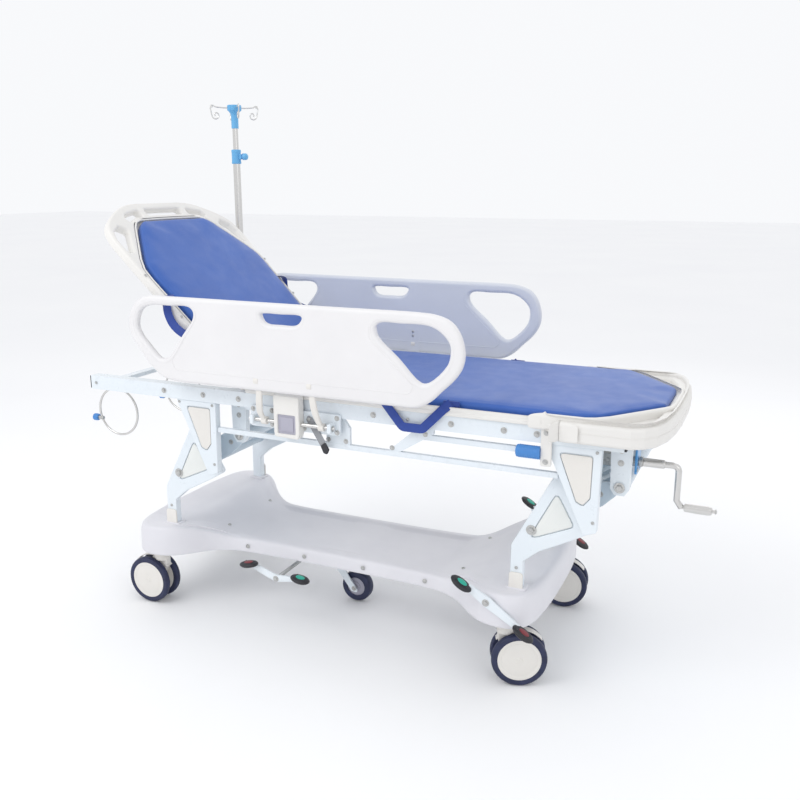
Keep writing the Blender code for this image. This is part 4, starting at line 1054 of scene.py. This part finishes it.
# ---- lift arms and their bearings
for end, dx in ENDS:
    lo = Vector((LEG_PIN[0] + dx, 0, LEG_PIN[1]))
    hi = Vector((ARM_PIN[0] + dx, 0, ARM_PIN[1]))
    along = (hi - lo).normalized()
    up = Vector((-along.z, 0, along.x))
    arm = Piece("lift_arm_shell_" + end)
    for centre in (lo, hi):
        arm.add(turned([(0.0126, -0.2), (0.0205, -0.2), (0.021, -0.1994), (0.021, 0.1994), (0.0205, 0.2),
            (0.0126, 0.2)], "y", centre, 32), "arm")
        for s in (-1, 1):
            arm.add(turned([(0.0126, 0.0), (0.0225, 0.0), (0.0228, 0.001), (0.0228, 0.008), (0.021, 0.01),
                (0.0126, 0.01)], "y", centre + Vector((0, s * 0.191 - 0.005, 0)), 28), "arm")
    a, b = lo + along * 0.019, hi - along * 0.019
    web = [a + up * 0.0038, b + up * 0.0038, b - up * 0.0038, a - up * 0.0038]
    arm.add(slab([(p.x, p.z, 0) for p in web], [], -0.1945, 0.1945, 0.0008, "xz", 2), "arm")
    for s in (-1, 1):
        cheek = [a + up * 0.019, lo + along * 0.07 + up * 0.034, hi - along * 0.07 + up * 0.034, b
            + up * 0.019, b - up * 0.019, hi - along * 0.07 - up * 0.03, lo + along * 0.07 - up * 0.03,
            a - up * 0.019]
        outline = filleted([(p.x, p.z, 0) for p in cheek], 0.014, 4)
        middle = (lo + hi) / 2
        arm.add(slab(outline, [], s * 0.1882, s * 0.1958, 0.0014, "xz", 2), "arm")
        arm.add(turned([(0.0, 0.0), (0.015, 0.0), (0.016, 0.0008), (0.015, 0.0016), (0.0, 0.001)], "y",
            (middle.x, s * 0.1958, middle.z), 28), "arm")
        arm.bolt(lo + along * 0.06 + Vector((0, s * 0.1958, 0)), (0, s, 0), 0.0048)
        arm.bolt(hi - along * 0.06 + Vector((0, s * 0.1958, 0)), (0, s, 0), 0.0048)
    for k in (-0.11, 0.0, 0.11):
        rib = [a + up * 0.0035, b + up * 0.0035, b + up * 0.013, a + up * 0.013]
        arm.add(slab([(p.x, p.z, 0) for p in rib], [], k - 0.002, k + 0.002, 0.0006, "xz", 2), "arm")
    if end == "foot":
        lever = [(hi.x - 0.01, hi.z + 0.016, 0), (hi.x + 0.01, hi.z + 0.016, 0), (hi.x + 0.0055, hi.z
            + 0.0295, 0), (hi.x - 0.0055, hi.z + 0.0295, 0)]
        arm.add(slab(filleted(lever, 0.003), [], -0.148, -0.132, 0.0012, "xz", 2), "arm")
    arm.done("lift_arm_" + end, "arm_paint", "lift_arm_" + end)

# ---- fasteners and end caps on the bed frame
trim = Piece("bed_frame_trim")
for s in (-1, 1):
    for x in (-0.487, -0.347, -0.225, 0.2, 0.42, 0.56, 0.644, 0.69, 0.786, 0.84):
        trim.bolt((x, s * 0.29, 0.709), (0, s, 0), 0.0052)
    for x in (-0.7655, 0.8555):
        cap = block(*sorted((x, x - math.copysign(0.006, x))), s * 0.2595, s * 0.2885, 0.6895, 0.7285, 0.0018)
        cap.transform(Matrix.Translation((math.copysign(0.0052, x), 0, 0)))
        trim.add(cap, "black")
    for x in (0.058, 0.112, 0.25, 0.345):
        trim.bolt((x, s * 0.279, 0.622 if x != 0.345 else 0.67), (0, s, 0), 0.0044)
    for _, dx in ENDS:
        trim.bolt((ARM_PIN[0] + dx, s * 0.224, ARM_PIN[1]), (0, s, 0), 0.0085)
        for z in (0.64, 0.672):
            trim.bolt((ARM_PIN[0] + dx, s * 0.2203, z), (0, s, 0), 0.005)
for x in (-0.745, 0.3):
    for s in (-1, 1):
        trim.bolt((x, s * 0.2903, 0.7085), (0, s, 0), 0.0045, washer=False)
trim.done("bed", "frame_paint")

# ---- infusion pole
PX, PY = -0.635, 0.35
tube = Piece("pole_lower")
tube.add(turned([(0.01, 0.665), (0.0121, 0.665), (0.0125, 0.6656), (0.0125, 1.404), (0.0121, 1.405),
    (0.01, 1.405)], "z", (PX, PY, 0), 40), "steel")
tube.add(turned([(0.0122, 0.6795), (0.0178, 0.6795), (0.0185, 0.681), (0.0185, 0.737), (0.0178, 0.7385),
    (0.0122, 0.7385)], "z", (PX, PY, 0), 36), "frame")
tube.add(block(PX - 0.012, PX + 0.012, 0.2906, PY - 0.016, 0.6905, 0.7275, 0.0015), "frame")
tube.bolt((PX - 0.0185, PY, 0.712), (-1, 0, 0), 0.0045, washer=False)
tube.done("bed", "steel", "pole_tube")
clamp = Piece("pole_collar")
clamp.add(turned([(0.013, 1.3682), (0.015, 1.3682), (0.0163, 1.37), (0.0165, 1.374), (0.0158, 1.3755),
    (0.0158, 1.406), (0.0165, 1.4075), (0.0165, 1.413), (0.0155, 1.4155), (0.013, 1.416)], "z", (PX, PY, 0),
    36), "sky")
clamp.add(block(PX + 0.0145, PX + 0.024, PY - 0.0062, PY + 0.0062, 1.3835, 1.4005, 0.0018), "sky")
clamp.done("bed", "blue_plastic", "pole_clamp")
knob = Piece("pole_knob_shell")
knob.add(turned([(0.0, 0.0243), (0.0045, 0.0243), (0.0045, 0.0268), (0.009, 0.0268), (0.0098, 0.0276),
    (0.0098, 0.031), (0.0112, 0.032), (0.0114, 0.038), (0.0104, 0.042), (0.0078, 0.0442), (0.0, 0.0446)], "x",
    (PX, PY, 1.392), 28), "sky")
for k in range(14):
    a = 2 * math.pi * k / 14
    y, z = PY + 0.0103 * math.cos(a), 1.392 + 0.0103 * math.sin(a)
    knob.add(pin((PX + 0.0275, y, z), (PX + 0.033, y, z), 0.0011, 0.0004, 8), "blue")
knob.done("pole_knob", "blue_plastic", "pole_knob")
upper = Piece("pole_upper_rod")
upper.add(turned([(0, 0.915), (0.0088, 0.915), (0.0095, 0.9158), (0.0095, 1.5142), (0.009, 1.515),
    (0, 1.515)], "z", (PX, PY, 0), 36), "steel")
for z in (1.0, 1.1, 1.2, 1.3):
    upper.add(turned([(0.0094, z - 0.0006), (0.0096, z), (0.0094, z + 0.0006)], "z", (PX, PY, 0), 24),
        "steel")
upper.done("pole_upper", "steel", "pole_rod")
head = Piece("pole_hook_head")
head.add(turned([(0, 1.486), (0.0118, 1.486), (0.0122, 1.488), (0.0122, 1.525), (0.0135, 1.533),
    (0.019, 1.542), (0.0235, 1.545), (0.024, 1.547), (0.024, 1.56), (0.0225, 1.563), (0.006, 1.5645),
    (0, 1.5645)], "z", (PX, PY, 0), 36), "sky")
for k in range(8):
    a = math.radians(45 * k)
    head.add(block(-0.0012, 0.0012, 0.0195, 0.0245, 1.5462, 1.5608, 0.0005), "sky",
        Matrix.Translation((PX, PY, 0)) @ Matrix.Rotation(a, 4, "Z"))
for k in range(4):
    a = math.radians(45 + 90 * k)
    ux, uy = math.cos(a), math.sin(a)
    spots = ((0.016, 1.5535), (0.034, 1.5535), (0.052, 1.5545), (0.066, 1.5565), (0.0745, 1.561),
        (0.08, 1.559), (0.0815, 1.551), (0.0795, 1.54), (0.0775, 1.528), (0.0735, 1.52), (0.066, 1.5165),
        (0.058, 1.519), (0.054, 1.526), (0.056, 1.534), (0.062, 1.537), (0.067, 1.533), (0.0665, 1.527))
    path = curve_through([(PX + ux * d, PY + uy * d, z) for d, z in spots], 4)
    head.add(wire(path, 0.0022, 10), "steel")
    head.add(turned([(0, 0), (0.0034, 0), (0.0034, 0.006), (0, 0.006)], "z", (PX + ux * 0.0775, PY
        + uy * 0.0775, 1.553), 14), "steel")
head.done("pole_upper", "blue_plastic", "pole_head")

# ---- cylinder rings
for side, y in (("near", -0.215), ("far", 0.11)):
    ring = Piece("ring_wire_" + side)
    path = [(x, y, z) for x, z, _ in circle(-0.735, 0.6, 0.075, 72)]
    ring.add(wire(path, 0.0036, 12, closed=True), "steel")
    ring.add(block(-0.7545, -0.7255, y - 0.008, y + 0.008, 0.669, 0.6915, 0.0015), "zinc")
    ring.bolt((-0.74, y - 0.008, 0.684), (0, -1, 0), 0.0042)
    ring.add(turned([(0, -0.017), (0.0056, -0.017), (0.006, -0.0162), (0.006, 0.0082), (0.0056, 0.009),
        (0, 0.009)], "x", (-0.808, y, 0.572), 20), "zinc")
    for t in (-0.012, -0.004, 0.004):
        ring.add(turned([(0.0058, -0.0006), (0.0068, 0), (0.0058, 0.0006)], "x", (-0.808 + t, y, 0.572), 18),
            "zinc")
    ring.done("bed", "steel", "cylinder_ring_" + side)
    grip = Piece("ring_knob_" + side)
    grip.add(turned([(0, -0.01), (0.008, -0.01), (0.0103, -0.008), (0.0106, -0.002), (0.0106, 0.006),
        (0.009, 0.0095), (0, 0.01)], "x", (-0.8275, y, 0.572), 28), "blue")
    for k in range(12):
        a = 2 * math.pi * k / 12
        yy, zz = y + 0.0102 * math.cos(a), 0.572 + 0.0102 * math.sin(a)
        grip.add(pin((-0.835, yy, zz), (-0.8215, yy, zz), 0.0012, 0.0005, 8), "blue")
    grip.done("cylinder_knob_" + side, "blue_plastic", "cylinder_knob_" + side)

# ---- crank drive
CY, CZ = -0.14, 0.625
bracket = Piece("crank_bracket_plate")
face = filleted(rect(CY - 0.028, CY + 0.028, 0.5965, 0.691), 0.008, 4)
bracket.add(slab(face, [circle(CY, CZ, 0.0094, 28)], 0.8627, 0.8683, 0.0014, "yz", 3), "blue_paint")
bracket.add(block(0.8265, 0.8683, CY - 0.0278, CY + 0.0278, 0.6858, 0.6912, 0.0014), "blue_paint")
for y in (CY - 0.018, CY + 0.018):
    bracket.bolt((0.8683, y, 0.676), (1, 0, 0), 0.0046)
    bracket.bolt((0.8683, y, 0.608), (1, 0, 0), 0.004)
bracket.done("bed", "blue_paint", "crank_bracket")
crank = Piece("crank_bar")
bend = filleted([(0.878, CY, CZ), (0.966, CY, CZ), (0.966, CY, 0.52), (1.059, CY, 0.52)], 0.016, 6, False)
crank.add(wire([p for p in bend if p.x < 0.9665 or p.z > 0.53][:-1] + [Vector((0.978, CY, 0.52))], 0.008, 16),
    "steel")
crank.add(pin((0.976, CY, 0.52), (1.0592, CY, 0.52), 0.0046), "steel")
crank.add(turned([(0.0, 0.0), (0.01, 0.0), (0.011, 0.001), (0.011, 0.05), (0.01, 0.052), (0.0, 0.052)], "x",
    (0.88, CY, CZ), 32), "steel")
for x in (0.87, 0.8525):
    collar = [(0.0, 0.0), (0.0125, 0.0), (0.013, 0.0006), (0.013, 0.0084), (0.0125, 0.009), (0.0, 0.009)]
    crank.add(turned(collar, "x", (x, CY, CZ), 30), "zinc")
crank.add(pin((0.858, CY, CZ), (0.876, CY, CZ), 0.0088), "steel")
screw = [(0.0, 0.71)]
for k in range(72):
    x = 0.711 + k * 0.002
    screw += [(0.0066, x), (0.0077, x + 0.001)]
screw += [(0.0066, 0.856), (0.0, 0.856)]
crank.add(turned(screw, "x", (0, CY, CZ), 20), "zinc")
crank.bolt((1.0592, CY, 0.52), (1, 0, 0), 0.0046)
crank.done("crank_handle", "steel", "crank_handle")
grip = Piece("crank_sleeve")
grip.add(turned([(0.0052, -0.033), (0.0085, -0.033), (0.0102, -0.0318), (0.0108, -0.02), (0.0115, 0.004),
    (0.0115, 0.024), (0.01, 0.031), (0.0075, 0.033), (0.0052, 0.033)], "x", (1.0185, CY, 0.52), 36), "steel")
grip.done("crank_grip", "steel", "crank_grip")
nut = Piece("lift_nut_block")
nut.add(block(0.7782, 0.8073, CY - 0.0138, CY + 0.0138, 0.6087, 0.6408, 0.0025, 3), "zinc")
nut.add(turned([(0.0083, 0.0), (0.0118, 0.0), (0.0118, 0.004), (0.0083, 0.004)], "x", (0.8073, CY, CZ), 24),
    "zinc")
for s in (-1, 1):
    nut.button((0.7928, CY + s * 0.0138, CZ), (0, s, 0), 0.005)
nut.done("lift_nut", "steel", "lift_nut")

# ---- hand grip under the near side
grip = Piece("release_grip")
grip.add(turned([(0.0, 0.5955), (0.013, 0.5955), (0.0155, 0.5975), (0.0162, 0.602), (0.0162, 0.656),
    (0.0, 0.656)], "x", (0, -0.2945, 0.664), 36), "blue")
for k in range(9):
    x = 0.604 + k * 0.0058
    grip.add(turned([(0.0158, -0.0018), (0.0167, -0.0006), (0.0167, 0.0006), (0.0158, 0.0018)], "x",
        (x, -0.2945, 0.664), 36), "blue")
grip.add(slab(filleted(rect(0.6562, 0.6838, 0.632, 0.7293), 0.005, 4), [], -0.2998, -0.2906, 0.0022, "xz", 3),
    "board")
for z in (0.644, 0.718):
    grip.bolt((0.67, -0.2998, z), (0, -1, 0), 0.0044)
grip.done("bed", "blue_plastic", "hand_grip")

# ---- castors
SWIVEL = {"head_near": 180.0, "head_far": 172.0, "foot_near": 22.0, "foot_far": 8.0}
AXLE_X, AXLE_Z = 0.035, 0.075      # trail and height of the wheel's axle
for end, sx in (("head", -1), ("foot", 1)):
    for side, sy in SIDES:
        tag = end + "_" + side
        turn = Matrix.Translation((sx * 0.57, sy * 0.25, 0)) @ Matrix.Rotation(math.radians(SWIVEL[tag]), 4,
            "Z")
        wheel = Piece("twin_wheel_" + tag)
        for s in (-1, 1):
            y = s * 0.0255
            tyre = [(0.0585, -0.0088), (0.066, -0.01), (0.071, -0.0094), (0.0738, -0.0066), (0.0748, -0.003),
                (0.075, 0.0), (0.0748, 0.003), (0.0738, 0.0066), (0.071, 0.0094), (0.066, 0.01),
                (0.0585, 0.0088)]
            wheel.add(turned(tyre, "y", (AXLE_X, y, AXLE_Z), 64), "tyre", turn)
            wheel.add(turned([(0.0652, 0.0098), (0.0662, 0.0104), (0.0672, 0.0098)], "y", (AXLE_X, y, AXLE_Z),
                64), "tyre", turn)
            face = [(0.0, 0.0108), (0.006, 0.0108), (0.0075, 0.0104), (0.0085, 0.009), (0.03, 0.0094),
                (0.044, 0.0088), (0.0465, 0.0076), (0.048, 0.0076), (0.05, 0.0088), (0.056, 0.009),
                (0.0592, 0.008), (0.0598, 0.005), (0.0598, -0.005), (0.0592, -0.008), (0.056, -0.0086),
                (0.0, -0.008)]
            if s < 0:
                face = [(r, -h) for r, h in face]
            wheel.add(turned(face, "y", (AXLE_X, y, AXLE_Z), 56), "cream", turn)
        wheel.add(turned([(0, -0.021), (0.0079, -0.021), (0.0079, 0.021), (0, 0.021)], "y",
            (AXLE_X, 0, AXLE_Z), 24), "zinc", turn)
        wheel.done("castor_wheel_" + tag, "tyre", "castor_wheel_" + tag)

        hood = Piece("castor_hood_" + tag)
        plate = [(-0.024, 0.155, 0), (-0.022, 0.122, 0), (0.008, 0.072, 0), (0.024, 0.06, 0),
            (0.046, 0.06, 0), (0.054, 0.078, 0), (0.043, 0.122, 0), (0.028, 0.155, 0)]
        hole = circle(AXLE_X, AXLE_Z, 0.0085, 24)
        hood.add(slab(filleted(plate, 0.01, 4), [hole], -0.0113, 0.0113, 0.003, "xz", 3), "cream", turn)
        arc = []
        for k in range(15):
            a = math.radians(38 + 104 * k / 14)
            arc.append((AXLE_X + 0.079 * math.cos(a), AXLE_Z + 0.079 * math.sin(a), 0))
        for k in range(14, -1, -1):
            a = math.radians(38 + 104 * k / 14)
            arc.append((AXLE_X + 0.0762 * math.cos(a), AXLE_Z + 0.0762 * math.sin(a), 0))
        hood.add(slab(arc, [], -0.0112, 0.0112, 0.0012, "xz", 2), "cream", turn)
        hood.add(turned([(0, 0.142), (0.022, 0.142), (0.0255, 0.15), (0.0262, 0.156), (0.0262, 0.168),
            (0.025, 0.1694), (0, 0.1694)], "z", (0, 0, 0), 40), "cream", turn)
        hood.add(turned([(0, 0.1694), (0.012, 0.1694), (0.012, 0.2055), (0.011, 0.206), (0, 0.206)], "z",
            (0, 0, 0), 24), "zinc", turn)
        hood.done("castor_fork_" + tag, "pp_white", "castor_fork_" + tag)

# ---- pedals and the fifth wheel


def shoe(place, tilt, key, piece, size=1.0):
    """Oval foot pedal with a rounded rim, grip ribs and a coloured lens on the outer face."""
    turn = (Matrix.Translation(place) @ Matrix.Rotation(math.radians(tilt), 4,
        "Y") @ Matrix.Diagonal((1.34 * size, 0.92, 1, 1)))
    piece.add(turned([(0, -0.0062), (0.015, -0.0062), (0.0205, -0.0048), (0.0236, -0.0012), (0.024, 0.001),
        (0.0222, 0.0044), (0.018, 0.0064), (0.012, 0.007), (0, 0.0072)], "z", (0, 0, 0), 36), "black", turn)
    piece.add(turned([(0, 0.0066), (0.0105, 0.0066), (0.0112, 0.0074), (0.01, 0.0084), (0.006, 0.009),
        (0, 0.0092)], "z", (0, 0, 0), 32), key, turn)
    for k in (-2, 2):
        rib = block(k * 0.0062 - 0.0008, k * 0.0062 + 0.0008, -0.013, 0.013, 0.005, 0.008, 0.0004)
        piece.add(rib, "black", turn)


pedal = Piece("lock_pedal_levers")
LX, LZ = 0.532, 0.247
pedal.add(pin((LX, -0.3195, LZ), (LX, 0.3195, LZ), 0.0058), "zinc")
for s in (-1, 1):
    arm = [(LX - 0.06, LZ + 0.028, 0), (LX - 0.004, LZ - 0.0125, 0), (LX + 0.088, LZ - 0.064, 0),
        (LX + 0.097, LZ - 0.052, 0), (LX + 0.01, LZ + 0.014, 0), (LX - 0.05, LZ + 0.044, 0)]
    pedal.add(slab(filleted(arm, 0.01, 4), [], s * 0.306, s * 0.315, 0.0028, "xz", 3), "frame")
    pedal.bolt((LX, s * 0.315, LZ), (0, s, 0), 0.0062)
    for px, pz, key in ((-0.066, 0.044, "green"), (0.104, -0.063, "red")):
        shoe(Vector((LX + px, s * 0.322, LZ + pz)), 32, key, pedal)
pedal.done("lock_pedal", "black_plastic", "lock_pedal")

FX, FZ = -0.14, 0.16
fifth = Piece("fifth_wheel_levers")
fifth.add(pin((FX, -0.258, FZ), (FX, 0.0595, FZ), 0.0058), "zinc")
fifth.add(block(FX - 0.0098, FX + 0.0598, -0.0298, 0.0298, 0.1502, 0.1678, 0.0025, 3), "frame")
CHEEK = [(-0.085, 0.153, 0), (-0.06, 0.151, 0), (0.013, 0.046, 0), (0.008, 0.04, 0), (-0.009, 0.042, 0),
    (-0.092, 0.15, 0)]
for s in (-1, 1):
    fifth.add(slab(filleted(CHEEK, 0.004, 3), [], s * 0.0242, s * 0.0298, 0.0012, "xz", 2), "frame")
    fifth.bolt((0, s * 0.0298, 0.053), (0, s, 0), 0.0048)
fifth.add(pin((0, -0.0295, 0.053), (0, 0.0295, 0.053), 0.0058), "zinc")
BAR = [(-0.236, 0.183, 0), (-0.214, 0.194, 0), (-0.14, 0.171, 0), (-0.06, 0.178, 0), (-0.052, 0.166, 0),
    (-0.14, 0.1495, 0), (-0.172, 0.159, 0)]
fifth.add(slab(filleted(BAR, 0.01, 4), [], -0.2618, -0.2536, 0.0024, "xz", 3), "frame")
fifth.bolt((FX, -0.2618, FZ), (0, -1, 0), 0.0058)
shoe(Vector((-0.228, -0.27, 0.194)), -8, "red", fifth, 0.95)
shoe(Vector((-0.052, -0.27, 0.178)), 10, "green", fifth, 0.95)
fifth.done("fifth_arm", "frame_paint", "fifth_arm")
roller = Piece("fifth_wheel_tyre")
roller.add(turned([(0.03, -0.015), (0.044, -0.0158), (0.0478, -0.014), (0.0497, -0.009), (0.05, 0.0),
    (0.0497, 0.009), (0.0478, 0.014), (0.044, 0.0158), (0.03, 0.015)], "y", (0, 0, 0.053), 52), "tyre")
roller.add(turned([(0.0064, -0.016), (0.014, -0.016), (0.015, -0.013), (0.029, -0.012), (0.0305, -0.0145),
    (0.0305, 0.0145), (0.029, 0.012), (0.015, 0.013), (0.014, 0.016), (0.0064, 0.016)], "y", (0, 0, 0.053),
    40), "window")
roller.done("fifth_wheel", "tyre", "fifth_wheel")

# ---- floor, light and camera

floor_mesh = bpy.data.meshes.new("floor")
FLOOR_HALF, FLOOR_Z = 30, -0.0005  # a hair under the tyres
floor_mesh.from_pydata([(x, y, FLOOR_Z) for x, y, _ in rect(-FLOOR_HALF, FLOOR_HALF, -FLOOR_HALF,
    FLOOR_HALF)], [], [(0, 1, 2, 3)])
floor = placed("floor", floor_mesh)
pale = Shade("floor_paint", rough=0.9)
pale.colour(pale.ramp(pale.noise(0.7), ((0.3, (0.93, 0.93, 0.94)), (0.7, (0.95, 0.95, 0.955)))))
floor_mesh.materials.append(pale.mat)

world = bpy.data.worlds.new("studio")
world.use_nodes = True
world.node_tree.nodes["Background"].inputs["Color"].default_value = (0.97, 0.98, 1.0, 1.0)
world.node_tree.nodes["Background"].inputs["Strength"].default_value = 0.97
bpy.context.scene.world = world


def area(name, place, target, size, power, colour=(1.0, 1.0, 1.0)):
    data = bpy.data.lights.new(name, "AREA")
    data.shape = "RECTANGLE"
    data.size, data.size_y = size
    data.energy = power
    data.color = colour
    lamp = placed(name, data)
    lamp.location = place
    lamp.rotation_euler = (Vector(target) - Vector(place)).to_track_quat("-Z", "Y").to_euler()


area("key", (-1.6, -2.6, 3.2), (0.0, 0.0, 0.6), (2.4, 1.6), 34.0)
area("fill", (2.6, -2.2, 2.0), (0.0, 0.0, 0.6), (2.0, 1.6), 6.0)
area("back", (0.2, 3.0, 2.6), (0.0, 0.0, 0.5), (3.0, 1.4), 12.0)

AZIMUTH, PITCH = math.radians(24.21), math.radians(13.99)
look = Vector((-math.sin(AZIMUTH) * math.cos(PITCH), math.cos(AZIMUTH) * math.cos(PITCH), -math.sin(PITCH)))
lens = bpy.data.cameras.new("camera")
lens.lens = 39.22
lens.sensor_width = 36.0
camera = placed("camera", lens)
camera.location = (1.066, -2.316, 1.304)
camera.rotation_euler = look.to_track_quat("-Z", "Y").to_euler()
bpy.context.scene.camera = camera
bpy.context.scene.view_settings.view_transform = "Standard"
